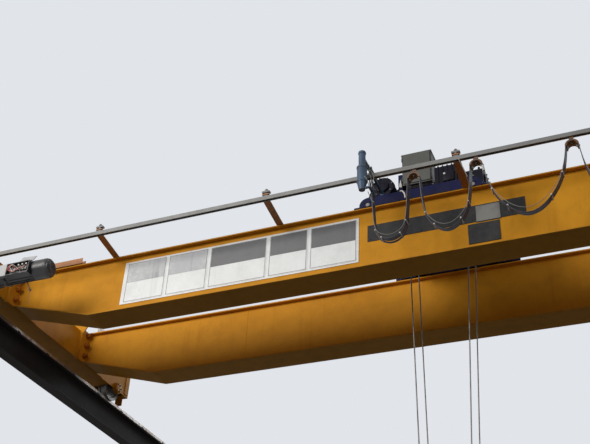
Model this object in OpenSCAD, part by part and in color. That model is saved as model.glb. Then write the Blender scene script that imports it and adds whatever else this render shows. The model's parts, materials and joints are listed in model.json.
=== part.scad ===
// Double-girder overhead bridge crane on two lengths of runway beam.
// X runs along the span, Y along the runway, Z up. Millimetres.
// The origin is on the underside of the left runway beam, half way along it.

/* [Span] */
// rail centre to rail centre
span = 9400; // [6000:100:16000]
// length of each modelled runway beam
runway_l = 5200; // [4000:100:8000]

/* [Girders] */
// height over both flanges
girder_h = 600; // [400:10:900]
// flange width
girder_w = 290; // [200:10:400]
// distance between the girder centres
girder_gauge = 1260; // [1000:20:2000]
// width over the two webs
box_w = 200; // [150:10:300]
// web plate
web_t = 8; // [5:1:12]
// flange plate
flange_t = 12; // [8:1:20]
// length of the raised end on each side
taper_l = 900; // [500:50:1500]
// how far the bottom flange rises in the raised end
taper_rise = 257; // [100:1:350]

/* [End carriages] */
// width over the side plates
carriage_w = 220; // [160:10:300]
// height of the box
carriage_h = 324; // [250:2:400]
// length of the box beyond each wheel axle
carriage_over = 245; // [200:5:400]
// distance between the wheel axles
wheel_base = 2500; // [1800:20:3200]
// tread diameter of the bridge wheels
wheel_d = 240; // [160:10:400]
// radius of the travel motors
motor_r = 94; // [70:2:100]

/* [Runway] */
// beam height
beam_h = 280; // [200:10:400]
// beam flange width
beam_w = 130; // [100:5:300]
// crane rail height
rail_h = 60; // [40:5:80]
// crane rail head width
rail_w = 50; // [40:5:80]

/* [Trolley] */
// centre of the trolley along the span, as photographed
trolley_x = 4265; // [1200:5:8200]
// distance between its wheel axles
trolley_base = 950; // [700:10:1400]
// tread diameter of its wheels
trolley_wheel_d = 120; // [100:5:150]
// distance of its left cross beam from its centre
cross_in = 395; // [380:5:420]
// distance of its right cross beam from its centre
cross_out = 313; // [300:1:330]
// radius at which the rope lies on the drum
drum_rope_r = 140; // [100:5:200]
// rope diameter
rope_d = 12; // [8:1:20]

/* [Hook block] */
// height of the sheave axle, with the hook at its lowest
block_z = -1685; // [-2600:5:-600]
// radius at which the rope lies in the sheaves
sheave_rope_r = 200; // [100:5:250]

/* [Signs] */
// distance of the panel board's left end from mid-span
board_in = 3342; // [2800:2:3600]
// height of the panel board
board_h = 460; // [300:10:480]
// left end of the long dark plate from mid-span
strip_in = 898; // [600:2:900]
// right end of the long dark plate from mid-span
strip_out = 468; // [300:2:800]

/* [Festoon] */
// centre of the cable rail in front of the girder
festoon_y = -1105; // [-1200:5:-1000]
// height of the underside of the cable rail
festoon_z = 810; // [780:5:900]
// height of the cable rail
festoon_h = 40; // [36:1:60]
// width of the cable rail
festoon_w = 34; // [30:1:50]
// width of the flat cable bundle
cable_w = 76; // [30:2:80]
// thickness of the flat cable bundle
cable_t = 9; // [5:1:15]
// how deep a cable loop hangs below its ends
loop_sag = 565; // [400:5:620]

/* [Display] */
// sub-part to show

/* [Hidden] */

$fn = 64;

yellow = [0.93, 0.68, 0.16];
steel = [0.55, 0.56, 0.58];
black = [0.09, 0.09, 0.10];
slate = [0.16, 0.18, 0.27];
blue = [0.22, 0.33, 0.55];
pale = [0.78, 0.79, 0.80];

// heights
rail_top = beam_h + rail_h;
axle_z = rail_top + wheel_d / 2 + 0.3;
girder_z = 165;
girder_top = girder_z + girder_h;
carriage_z = girder_top - carriage_h;
taper_z = girder_z + taper_rise;

// stations along the span
plate_t = 20;
plate_x = carriage_w / 2;
girder_x = plate_x + 2 * plate_t;
kink_x = girder_x + taper_l;
mid_x = span / 2;
carriage_l = wheel_base + 2 * carriage_over;

// stations along the runway
front_y = -girder_gauge / 2;
rear_y = girder_gauge / 2;
wheel_y = wheel_base / 2;
web_y = front_y - box_w / 2;

// trolley
trolley_rail_h = 30;
trolley_rail_w = 40;
trolley_rail_top = girder_top + trolley_rail_h;
trolley_axle_z = trolley_rail_top + trolley_wheel_d / 2 + 0.3;
side_beam_w = 120;
side_beam_z = trolley_rail_top + 40;
// the wheel and its housing at each end of the side beams
trolley_rim_r = trolley_wheel_d / 2 + 9;
trolley_end_r = trolley_rim_r + 12;
side_beam_top = trolley_axle_z + trolley_end_r;
trolley_half = trolley_base / 2 + trolley_end_r;
drum_z = side_beam_top + 155;
drum_x0 = trolley_x - 305;
drum_x1 = trolley_x + 335;

// control box over the hoist motor
box_x = trolley_x - 215;
box_y = -480;
box_z = girder_top + 390;
box_long = 280;

// hoist motor in front of the drum
hoist_y = -430;
hoist_z = side_beam_top + 114;

// rope falls: left and right, on the drum and on the block
block_x = trolley_x - 17;
fall_top_x = [trolley_x - 265, trolley_x + 301];
fall_low_x = [block_x - sheave_rope_r, block_x + sheave_rope_r];

// festoon: the tow clamp, the carriers and the fixed end
tow_x = trolley_x - 287;
fixed_x = span - 150;
third_x = trolley_x + 1365;
carrier_x = concat([trolley_x + 73, trolley_x + 600],
  [for (i = [0:4]) third_x + i * (fixed_x - third_x) / 5]);
tow_z = festoon_z - 182;
saddle_r = 46;
saddle_z = festoon_z - 105;
bracket_in = 1260;
bracket_x = [for (i = [0:4]) bracket_in + i * (span - 2 * bracket_in) / 4];
festoon_wall = 4;
festoon_slot = 14;

module bar(x0, x1, y0, y1, z0, z1) {
  translate([x0, y0, z0]) cube([x1 - x0, y1 - y0, z1 - z0]);
}

module rod_x(x0, x1, y, z, d) {
  translate([x0, y, z]) rotate([0, 90, 0]) cylinder(h = x1 - x0, d = d);
}

module rod_y(x, y0, y1, z, d) {
  translate([x, y1, z]) rotate([90, 0, 0]) cylinder(h = y1 - y0, d = d);
}

module rod_z(x, y, z0, z1, d) {
  translate([x, y, z0]) cylinder(h = z1 - z0, d = d);
}

// a profile drawn in X and Z, drawn out along Y
module along_y(y0, y1) {
  translate([0, y1, 0]) rotate([90, 0, 0]) linear_extrude(y1 - y0) children();
}

// a profile drawn in Y and Z, drawn out along X
module along_x(x0, x1) {
  translate([x0, 0, 0]) rotate([90, 0, 90]) linear_extrude(x1 - x0) children();
}

module rounded(w, h, r) {
  translate([r, 0]) square([w - 2 * r, h]);
  translate([0, r]) square([w, h - 2 * r]);
  for (x = [r, w - r], z = [r, h - r]) translate([x, z]) circle(r);
}

module mirror_span() {
  translate([span, 0, 0]) mirror([1, 0, 0]) children();
}

// Runway

module runway_beam() {
  foot_y = runway_l / 2 - 150;
  flange = 14;
  web = 9;
  difference() {
    along_y(-runway_l / 2, runway_l / 2) {
      translate([-beam_w / 2, 0]) square([beam_w, flange]);
      translate([-beam_w / 2, beam_h - flange]) square([beam_w, flange]);
      translate([-web / 2, 0]) square([web, beam_h]);
    }
    for (y = [-foot_y, foot_y], dx = [-40, 40], dy = [-50, 50])
      rod_z(dx, y + dy, -1, flange + 1, 18);
  }
}

module runway_beam_left() {
  color(black) runway_beam();
}

module runway_beam_right() {
  color(black) translate([span, 0, 0]) runway_beam();
}

module crane_rails() {
  color(steel)
    for (x = [0, span])
      bar(x - rail_w / 2, x + rail_w / 2, -runway_l / 2, runway_l / 2, beam_h, rail_top);
}

// Bridge

// outline of the girder's underside, raised by lift
function under(lift) = [
  [girder_x, taper_z + lift],
  [kink_x, girder_z + lift],
  [span - kink_x, girder_z + lift],
  [span - girder_x, taper_z + lift]
];

function reversed(p) = [for (i = [len(p) - 1:-1:0]) p[i]];

module girder(y) {
  roof = girder_top - flange_t;
  color(yellow) {
    bar(girder_x, span - girder_x, y - girder_w / 2, y + girder_w / 2, roof, girder_top);
    along_y(y - girder_w / 2, y + girder_w / 2)
      polygon(concat(under(0), reversed(under(flange_t))));
    for (side = [-1, 1]) {
      outer = y + side * box_w / 2;
      inner = outer - side * web_t;
      along_y(min(outer, inner), max(outer, inner))
        polygon(concat(under(flange_t / 2), [[span - girder_x, roof + 1], [girder_x, roof + 1]]));
    }
  }
}

module girder_front() {
  girder(front_y);
}

module girder_rear() {
  girder(rear_y);
}

// the bolted pair of plates between each girder end and its carriage
module plate_pair() {
  reach = box_w / 2 + 142;
  foot = taper_z - 5;
  inner = plate_x + 2 * plate_t;
  for (girder_y = [front_y, rear_y]) {
    for (i = [0, 1])
      translate([plate_x + i * plate_t, girder_y - reach, foot])
        cube([plate_t - 0.4 * (1 - i), 2 * reach, girder_top + 10 - foot]);
    // knees over the carriage, through the edges of the plates
    for (side = [-1, 1]) {
      y = girder_y + side * (reach - 8);
      along_y(y - 7, y + 7)
        polygon([[-40, girder_top], [plate_x + 1, girder_top], [plate_x + 1, girder_top - 55],
          [inner + 8, girder_top - 45], [inner + 46, girder_top + 35], [inner + 46, girder_top + 85],
          [plate_x - 80, girder_top + 85], [-40, girder_top + 22]]);
    }
  }
}

module end_plates() {
  color(yellow) {
    plate_pair();
    mirror_span() plate_pair();
  }
}

module bearing_housing(x0, x1, y) {
  rod_x(x0, x1, y, axle_z, 132);
}

module carriage() {
  half = carriage_w / 2;
  end = carriage_l / 2;
  wall = 10;
  top = carriage_z + carriage_h;
  difference() {
    union() {
      bar(-half, half, -end, end, carriage_z, top);
      for (y = [-wheel_y, wheel_y]) {
        bearing_housing(-half - 20, -half + wall, y);
        bearing_housing(half - wall, half + 20, y);
      }
      // rail sweeps
      for (y = [-end, end - 12]) bar(-45, 45, y, y + 12, rail_top + 20, carriage_z + 1);
    }
    bar(-half + wall, half - wall, -end + 12, end - 12, carriage_z + wall, top - wall);
    for (y = [-wheel_y, wheel_y]) {
      bar(-half + wall, half - wall, y - 160, y + 160, carriage_z - 80, carriage_z + wall + 1);
      rod_x(-half - 30, half + 30, y, axle_z, 50.2);
    }
  }
}

module end_carriage_left() {
  color(yellow) carriage();
}

module end_carriage_right() {
  color(yellow) mirror_span() carriage();
}

// a rail on each girder, and an end stop with a rib behind it at either end
module trolley_rails() {
  stop_x = girder_x + 50;
  color(steel)
    for (y = [front_y, rear_y]) {
      bar(stop_x + 30.4, span - stop_x - 30.4, y - trolley_rail_w / 2, y + trolley_rail_w / 2,
        girder_top, trolley_rail_top);
      rail_stop(stop_x, y);
      mirror_span() rail_stop(stop_x, y);
    }
}

module rail_stop(x, y) {
  bar(x, x + 30, y - 50, y + 50, girder_top, trolley_axle_z + 28);
  along_y(y - 8, y + 8)
    polygon([[x - 40, girder_top], [x + 1, girder_top], [x + 1, trolley_axle_z], [x - 40, girder_top + 20]]);
}

// gearmotor on the inner side of the front wheel
module travel_drive() {
  y = -wheel_y;
  motor_z = axle_z - 28;
  gear_x0 = plate_x + 26;
  gear_x1 = gear_x0 + 190;
  body_x0 = gear_x1 + 120;
  body_x1 = body_x0 + 302;
  cowl_l = 155;
  body_r = motor_r - 8;
  lantern_r = motor_r + 6;
  difference() {
    union() {
      // gear case in two halves, with the bolted joint between them
      for (half = [[gear_x0, gear_x1, 0], [gear_x0 + 84, gear_x0 + 104, 12]])
        along_x(half[0], half[1]) {
          translate([y, axle_z]) circle(d = 190 + half[2]);
          translate([y, motor_z - 10]) circle(d = 190 + half[2]);
          translate([y - 95 - half[2] / 2, motor_z - 10]) square([190 + half[2], axle_z - motor_z + 10]);
        }
      // torque bracket to the carriage
      bar(plate_x, gear_x0 + 70, y - 45, y + 45, axle_z + 70, axle_z + 100);
      // lantern between the gear case and the motor
      translate([gear_x1 - 1, y, motor_z]) rotate([0, 90, 0])
        rotate_extrude()
          polygon([[0, 0], [lantern_r, 0], [lantern_r, 22], [lantern_r - 12, 28],
            [lantern_r - 12, 92], [lantern_r, 98], [lantern_r, 116], [body_r - 2, 122], [0, 122]]);
      rod_x(body_x0 - 2, body_x1 + 1, y, motor_z, 2 * body_r);
      // cooling fins
      for (a = [20:20:340])
        translate([body_x0 + 18, y, motor_z]) rotate([a, 0, 0])
          translate([0, -2.5, body_r - 2]) cube([body_x1 - body_x0 - 26, 5, 8]);
      // fan cowl
      translate([body_x1, y, motor_z]) rotate([0, 90, 0])
        rotate_extrude()
          polygon([[0, 0], [motor_r, 0], [motor_r, cowl_l - 26], [motor_r - 6, cowl_l - 9],
            [motor_r - 20, cowl_l], [0, cowl_l]]);
      terminal_box(y, motor_z, body_x1 - 253, 0, 44);
    }
    terminal_box(y, motor_z, body_x1 - 253, 6, 6);
  }
}

// the terminal box on the motor's front, or the open hollow inside its walls
module terminal_box(y, motor_z, x0, wall, back) {
  front = y - motor_r - 28;
  bar(x0 + wall, x0 + 248 - wall, front - wall, y - motor_r + back, motor_z - 80 + wall,
    motor_z + 46 - wall);
}

module travel_drive_left() {
  color(black) travel_drive();
}

module travel_drive_right() {
  color(black) mirror_span() travel_drive();
}

// five bare panels on one board
module label_board() {
  x0 = mid_x - board_in;
  z0 = girder_z + 75;
  z1 = z0 + board_h;
  panel_x = [for (x = [24, 471, 908, 1504, 1901, 2364]) x0 + x];
  color(pale) {
    bar(x0, panel_x[5], web_y - 5, web_y, z0, z1);
    for (i = [0:4])
      along_y(web_y - 7, web_y - 4.5)
        translate([panel_x[i] + 8, z0 + 16])
          rounded(panel_x[i + 1] - panel_x[i] - 24, z1 - z0 - 34, 18);
  }
}

module web_plates() {
  z = girder_z + 53;
  color([0.35, 0.35, 0.37]) {
    bar(mid_x - strip_in, mid_x + strip_out, web_y - 4, web_y, z + 212, z + 379);
    bar(mid_x - 20, mid_x + 245, web_y - 6, web_y, z, z + 193);
    bar(mid_x + 52, mid_x + 262, web_y - 7, web_y - 3.5, z + 205, z + 370);
  }
}

// slotted rail with a clamp at each bracket
module festoon_rail() {
  half = festoon_w / 2;
  wall = festoon_wall;
  roof = festoon_z + festoon_h;
  color(pale) {
    along_x(80, span - 80)
      difference() {
        translate([festoon_y - half, festoon_z]) square([festoon_w, festoon_h]);
        translate([festoon_y - half + wall, festoon_z + wall])
          square([festoon_w - 2 * wall, festoon_h - 2 * wall]);
        translate([festoon_y - festoon_slot / 2, festoon_z - 1]) square([festoon_slot, wall + 2]);
      }
    for (x = bracket_x) {
      bar(x - 20, x + 20, festoon_y - 14, festoon_y + 14, roof - 1, roof + 12);
      rod_z(x, festoon_y, roof + 11, roof + 62, 18);
      bar(x - 36, x + 36, festoon_y - 18, festoon_y + 18, roof + 40, roof + 56);
    }
  }
}

// angle arm from the flange to the rail, with an upright and a clamp over the rail
module festoon_bracket(x) {
  back = festoon_y + festoon_w / 2 + 2;
  roof = festoon_z + festoon_h;
  foot_y = front_y - 60;
  edge_y = front_y - girder_w / 2;
  arm_z = festoon_z + 4;
  difference() {
    union() {
      along_x(x - 32, x + 32)
        polygon([[foot_y, girder_top], [edge_y, girder_top], [back, arm_z], [back, roof + 12],
          [festoon_y - 20, roof + 12], [festoon_y - 20, roof + 22], [back + 8, roof + 22],
          [back + 8, arm_z + 8], [edge_y, girder_top + 7], [foot_y, girder_top + 7]]);
      // the standing leg of the angle
      along_x(x - 32, x - 26)
        polygon([[foot_y, girder_top], [edge_y, girder_top], [back, arm_z], [back, roof + 12],
          [back + 8, roof + 12], [back + 40, roof], [edge_y, girder_top + 47],
          [foot_y, girder_top + 47]]);
    }
    rod_z(x, festoon_y, roof, roof + 30, 19);
  }
}

module festoon_brackets() {
  color([0.80, 0.50, 0.18]) {
    for (x = bracket_x) festoon_bracket(x);
    // clamp at the fixed end of the cable
    bar(fixed_x - 4, fixed_x + 34, festoon_y - cable_w / 2 - 4, festoon_y + cable_w / 2 + 4,
      festoon_z - 60, festoon_z);
    // channel for the bridge cables on the left end of the front girder
    along_x(300, 870)
      difference() {
        translate([front_y - 150, girder_top + 10]) square([62, 60]);
        translate([front_y - 144, girder_top + 16]) square([50, 60]);
      }
    for (x = [330, 800]) bar(x, x + 40, front_y - 140, front_y - 100, girder_top, girder_top + 12);
  }
}

module buffers() {
  end = carriage_l / 2;
  z = carriage_z + carriage_h / 2;
  color([0.12, 0.12, 0.12])
    for (x = [0, span], side = [-1, 1])
      translate([x, side * end, z]) rotate([-90 * side, 0, 0]) {
        cylinder(h = 14, d = 120);
        translate([0, 0, 13]) rotate_extrude()
          polygon([[0, 0], [48, 0], [42, 30], [48, 55], [36, 68], [0, 68]]);
      }
}

// Wheels

// flanged wheel turned about X
module flanged_wheel(d, tread, rim, rim_t, hub) {
  half = tread / 2;
  out = half + rim_t;
  rotate([0, 90, 0])
    rotate_extrude($fn = 96)
      polygon([[0, -out - 3], [hub, -out - 3], [hub, -out + 14], [d * 0.40, -out + 14],
        [d * 0.42, -out], [rim / 2, -out], [rim / 2, -half - 2], [d / 2, -half],
        [d / 2, half], [rim / 2, half + 2], [rim / 2, out], [d * 0.42, out],
        [d * 0.40, out - 14], [hub, out - 14], [hub, out + 3], [0, out + 3]]);
}

module bridge_wheel(x, y) {
  reach = carriage_w / 2 + 22;
  color(steel) translate([x, y, axle_z]) {
    flanged_wheel(wheel_d, 64, wheel_d + 30, 15, 48);
    rod_x(-reach, reach, 0, 0, 50);
  }
}

module bridge_wheel_left_front() { bridge_wheel(0, -wheel_y); }
module bridge_wheel_left_rear() { bridge_wheel(0, wheel_y); }
module bridge_wheel_right_front() { bridge_wheel(span, -wheel_y); }
module bridge_wheel_right_rear() { bridge_wheel(span, wheel_y); }

module trolley_wheel(side, y) {
  reach = side_beam_w / 2 + 8;
  color(steel) translate([trolley_x + side * trolley_base / 2, y, trolley_axle_z])
    rotate([0, 0, 90]) {
      flanged_wheel(trolley_wheel_d, 51, 2 * trolley_rim_r, 9, 28);
      rod_x(-reach, reach, 0, 0, 36);
    }
}

module trolley_wheel_left_front() { trolley_wheel(-1, front_y); }
module trolley_wheel_left_rear() { trolley_wheel(-1, rear_y); }
module trolley_wheel_right_front() { trolley_wheel(1, front_y); }
module trolley_wheel_right_rear() { trolley_wheel(1, rear_y); }

// Trolley

// box beam with a round housing over each wheel
module side_beam(y) {
  half = side_beam_w / 2;
  wheel_x = [trolley_x - trolley_base / 2, trolley_x + trolley_base / 2];
  difference() {
    along_y(y - half, y + half) {
      translate([wheel_x[0], side_beam_z])
        square([trolley_base, side_beam_top - side_beam_z]);
      for (x = wheel_x) translate([x, trolley_axle_z]) circle(r = trolley_end_r);
    }
    bar(wheel_x[0] - 200, wheel_x[1] + 200, y - half - 1, y + half + 1,
      side_beam_z - 100, side_beam_z);
    for (x = wheel_x) {
      rod_y(x, y - 40, y + 40, trolley_axle_z, 2 * trolley_rim_r + 10);
      rod_y(x, y - half - 1, y + half + 1, trolley_axle_z, 36.2);
    }
    bar(wheel_x[0] + 100, wheel_x[1] - 100, y - half + 8, y + half - 8,
      side_beam_z - 1, side_beam_top - 10);
  }
  // rubber stops
  for (x = [trolley_x - trolley_half - 60, trolley_x + trolley_half - 3])
    rod_x(x, x + 63, y, trolley_axle_z, 60);
  // axle keepers
  for (x = wheel_x, side = [-1, 1])
    bar(x - 34, x + 34, y + side * half - (side < 0 ? 6 : 0), y + side * half + (side < 0 ? 0 : 6),
      trolley_axle_z + 24, trolley_axle_z + 44);
}

module cross_beam(x0, x1) {
  inner = rear_y - side_beam_w / 2;
  foot = side_beam_top - 125;
  difference() {
    bar(x0, x1, -inner - 1, inner + 1, foot, side_beam_top);
    bar(x0 + 8, x1 - 8, -inner + 8, inner - 8, foot - 1, side_beam_top - 9);
  }
}

module trolley_frame() {
  left_beam = trolley_x - cross_in;
  right_beam = trolley_x + cross_out;
  deck = side_beam_top + 10;
  color(blue) {
    side_beam(front_y);
    side_beam(rear_y);
    cross_beam(left_beam, left_beam + 115);
    cross_beam(right_beam, right_beam + 115);
    // deck under the motor and the control box
    bar(left_beam + 55, right_beam + 30, -530, -280, side_beam_top - 1, deck);
    // seat of the hoist gearbox
    bar(right_beam + 25, right_beam + 240, -571, 220, side_beam_top - 1, deck);
    // drum pedestal
    difference() {
      along_x(drum_x0 - 40, drum_x0 - 15)
        polygon([[-120, side_beam_top - 1], [120, side_beam_top - 1], [62, drum_z + 60],
          [-62, drum_z + 60]]);
      rod_x(drum_x0 - 50, drum_x0, 0, drum_z, 60.2);
    }
    // the plate beside the control box, and two legs under its back
    bar(box_x - 36, box_x, box_y, box_y + 140, deck - 1, box_z + 130);
    for (x = [box_x + 10, box_x + box_long - 42])
      bar(x, x + 32, box_y + 152, box_y + 182, deck - 1, box_z);
  }
}

// grooves as rings on the two halves of the drum
function groove_ring(x, r) = [[r, x], [r, x + 3], [r - 4, x + 6], [r - 4, x + 9], [r, x + 12]];

module rope_drum() {
  r = drum_rope_r - rope_d / 2 - 0.3;
  flange_r = drum_rope_r + 10;
  long = drum_x1 - drum_x0;
  rings = [for (i = [0:18]) for (p = groove_ring(36 + i * 13, r)) p];
  rings_far = [for (i = [0:18]) for (p = groove_ring(long - 288 + i * 13, r)) p];
  color(steel) translate([drum_x0, 0, drum_z]) {
    rotate([0, 90, 0])
      rotate_extrude($fn = 72)
        polygon(concat([[0, 0], [flange_r, 0], [flange_r, 14], [r, 16]], rings, rings_far,
          [[r, long - 16], [flange_r, long - 14], [flange_r, long], [0, long]]));
    rod_x(-40, long + 30, 0, 0, 60);
  }
}

// gear case at the drum's right end, with a tall housing for the motor's brake in front
module hoist_gearbox() {
  x0 = drum_x1 + 12;
  x1 = x0 + 194;
  foot = side_beam_top + 10;
  shoulder = foot + 179;
  tall_x = trolley_x + 107;
  case_y = -560;
  color(slate)
    difference() {
      union() {
        // the case, and its bolted joint standing proud
        for (part = [[x0, x1, 0], [x0 + 88, x0 + 106, 10]])
          along_x(part[0], part[1]) {
            translate([case_y - part[2], foot]) rounded(260, shoulder + part[2] - foot, 30);
            translate([0, drum_z]) circle(r = 125 + part[2]);
            polygon([[-330, foot], [150, foot], [150, foot + 60], [115, drum_z],
              [-42, drum_z + 117 + part[2]], [-330, shoulder + part[2]]]);
          }
        // the tall housing, with ribs round it
        along_x(tall_x, x0 + 1)
          translate([hoist_y - 118, foot]) rounded(236, 304, 36);
        for (x = [tall_x + 30:42:x0 - 30])
          along_x(x, x + 8)
            translate([hoist_y - 126, foot + 20]) rounded(252, 292, 40);
        // shaft covers
        rod_x(x0 - 6, x1 + 14, 0, drum_z, 190);
        rod_x(x1 - 1, x1 + 12, hoist_y, hoist_z, 150);
        rod_x(x1 - 1, x1 + 10, -215, hoist_z - 8, 110);
        // lifting eye
        along_x(tall_x + 60, tall_x + 76)
          translate([hoist_y - 20, foot + 310]) difference() {
            circle(r = 26);
            circle(r = 12);
          }
      }
      rod_x(x0 - 10, x0 + 20, 0, drum_z, 60.2);
    }
}

module hoist_motor() {
  x1 = trolley_x + 107;
  x0 = x1 - 274;
  foot = side_beam_top + 10;
  z = hoist_z;
  color(slate) {
    rod_x(x1 - 20, x1, hoist_y, z, 200);
    rod_x(x0 + 42, x1 - 19, hoist_y, z, 176);
    for (a = [0:18:342])
      translate([x0 + 50, hoist_y, z]) rotate([a, 0, 0])
        translate([0, -2, 84]) cube([190, 4, 12]);
    translate([x0, hoist_y, z]) rotate([0, 90, 0])
      rotate_extrude() polygon([[0, 0], [78, 0], [92, 10], [96, 24], [96, 47], [0, 47]]);
    bar(x0 + 80, x1 - 60, hoist_y - 70, hoist_y + 70, foot, z - 74);
  }
}

module control_box() {
  color(pale) {
    translate([box_x, box_y, box_z]) {
      linear_extrude(352) rounded(box_long, 170, 12);
      // door
      along_y(-9, 1) translate([12, 12]) rounded(box_long - 24, 328, 10);
      // cable glands
      for (x = [60:45:195]) rod_z(x, 137, -16, 1, 26);
    }
  }
}

// telescopic post in front of the cable rail, on an arm over it
module tow_arm() {
  x = tow_x - 67;
  y = festoon_y - 95;
  cable_front = festoon_y - cable_w / 2;
  cable_back = festoon_y + cable_w / 2;
  color(blue) {
    // the post: a foot drawn in, a sleeve and a thinner tube
    translate([x, y, tow_z + 4]) cylinder(h = 78, d1 = 54, d2 = 86);
    rod_z(x, y, tow_z + 81, 870, 86);
    translate([x, y, 869]) cylinder(h = 18, d1 = 86, d2 = 60);
    rod_z(x, y, 886, 1037, 60);
    bar(x - 11, x + 11, y, front_y + 20, 982, 1006);
    bar(x - 15, x + 15, front_y - 20, front_y + 20, side_beam_top, 983);
    // lug and clamp for the cable end
    bar(x - 8, tow_x + 11, y - 10, y + 10, tow_z + 14, tow_z + 28);
    bar(tow_x - 11, tow_x + 11, y - 10, cable_back + 2, tow_z + 14, tow_z + 28);
    bar(tow_x - 7, tow_x + 7, cable_front - 2, cable_back + 2, tow_z - 1, tow_z + 15);
  }
}

module rope_anchor() {
  y = drum_rope_r;
  color(slate) {
    bar(trolley_x - 385, trolley_x + 331, y + 8, y + 34, side_beam_top, side_beam_top + 40);
    for (x = fall_top_x) {
      bar(x - 28, x + 28, y - 14, y + 9, side_beam_top + 6, side_beam_top + 40);
    }
  }
}

// spur gearmotor on the inner side of the front left wheel
module trolley_drive() {
  x = trolley_x - trolley_base / 2;
  y0 = front_y + side_beam_w / 2 + 10;
  motor_x = x + 95;
  z = side_beam_top + 188;
  color(slate) {
    // gear case, up past the cross beam to the motor
    for (part = [[y0, y0 + 78, 0], [y0 + 34, y0 + 44, 6]])
      along_y(part[0], part[1]) {
        translate([x, trolley_axle_z]) circle(r = 55 + part[2]);
        translate([motor_x, z]) circle(r = 105 + part[2]);
        polygon([[x - 55 - part[2], trolley_axle_z], [x + 55 + part[2], trolley_axle_z],
          [x + 64 + part[2], side_beam_top + 12], [motor_x + 74, z - 74],
          [motor_x - 74, z + 74], [x - 60 - part[2], side_beam_top + 40]]);
      }
    rod_y(motor_x, y0 + 77, y0 + 250, z, 200);
    translate([motor_x, y0 + 249, z]) rotate([-90, 0, 0])
      rotate_extrude() polygon([[0, 0], [109, 0], [109, 62], [98, 76], [84, 80], [0, 80]]);
    for (a = [20:20:340])
      translate([motor_x, y0 + 90, z]) rotate([0, a, 0])
        translate([-2.5, 0, 96]) cube([5, 160, 11]);
    // terminal box on the motor
    bar(motor_x - 48, motor_x + 48, y0 + 100, y0 + 210, z + 84, z + 136);
    bar(x - 40, x + 40, y0 - 10, y0 + 1, trolley_axle_z + 50, side_beam_top - 4);
  }
}

// Ropes, hook block and hook

// one straight fall, leaning from the drum in to the block
module rope_fall(x_top, x_low, y, z_top) {
  lean = atan2(x_low - x_top, drum_z - block_z);
  x0 = x_top + (x_low - x_top) * (drum_z - z_top) / (drum_z - block_z);
  translate([x0, y, z_top]) rotate([0, -lean, 0]) mirror([0, 0, 1])
    cylinder(h = (z_top - block_z) / cos(lean), d = rope_d);
}

module rope_falls_front() {
  color(steel)
    for (i = [0, 1]) rope_fall(fall_top_x[i], fall_low_x[i], -drum_rope_r, drum_z);
}

module rope_falls_rear() {
  color(steel)
    for (i = [0, 1]) rope_fall(fall_top_x[i], fall_low_x[i], drum_rope_r, side_beam_top + 5.7);
}

module sheave(y) {
  rim = sheave_rope_r + 13;
  root = sheave_rope_r - rope_d / 2 - 0.3;
  translate([block_x, y, block_z]) rotate([90, 0, 0])
    rotate_extrude($fn = 96)
      polygon([[30.1, -24], [60, -24], [60, -9], [root - 26, -9], [root - 10, -18],
        [rim, -18], [rim, -12], [root, -7], [root, 7], [rim, 12], [rim, 18],
        [root - 10, 18], [root - 26, 9], [60, 9], [60, 24], [30.1, 24]]);
}

module hook_sheaves() {
  color(steel) {
    sheave(-drum_rope_r);
    sheave(drum_rope_r);
  }
}

module cheek(y) {
  along_y(y - 5, y + 5) {
    translate([block_x, block_z]) circle(d = 300);
    polygon([[block_x - 146, block_z - 30], [block_x + 146, block_z - 30],
      [block_x + 80, block_z - 315], [block_x - 80, block_z - 315]]);
  }
}

module hook_block() {
  head_z = block_z - 270;
  color(yellow)
    difference() {
      union() {
        for (y = [-172, -108, 108, 172]) cheek(y);
        rod_y(block_x, -190, 190, block_z, 60);
        bar(block_x - 75, block_x + 75, -176, 176, head_z - 40, head_z + 40);
        rod_y(block_x, -200, 200, head_z, 60);
      }
      rod_z(block_x, 0, head_z - 60, head_z + 60, 58.2);
    }
}

module hook() {
  head_z = block_z - 270;
  eye_z = head_z - 255;
  ring_r = 78;
  bar_d = 60;
  start = 78;
  sweep = 255;
  tip = start - sweep;
  color([0.20, 0.20, 0.21]) {
    // nut and shank
    rod_z(block_x, 0, head_z + 40.3, head_z + 92, 104);
    rod_z(block_x, 0, head_z - 130, head_z + 60, 58);
    translate([block_x, 0, head_z - 180]) cylinder(h = 52, d1 = 66, d2 = 58);
    // the bowl
    translate([block_x, 0, eye_z]) rotate([90, 0, 0]) {
      rotate([0, 0, tip]) rotate_extrude(angle = sweep) translate([ring_r, 0]) circle(d = bar_d);
      rotate([0, 0, start]) translate([ring_r, 0, 0]) sphere(d = bar_d);
      // the nose, drawn up to a point
      rotate([0, 0, tip]) translate([ring_r, 0, 0]) rotate([90, 0, 0])
        cylinder(h = 52, d1 = bar_d, d2 = 34);
      rotate([0, 0, tip]) translate([ring_r, -50, 0]) sphere(d = 34);
    }
  }
}

// Festoon cables

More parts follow.
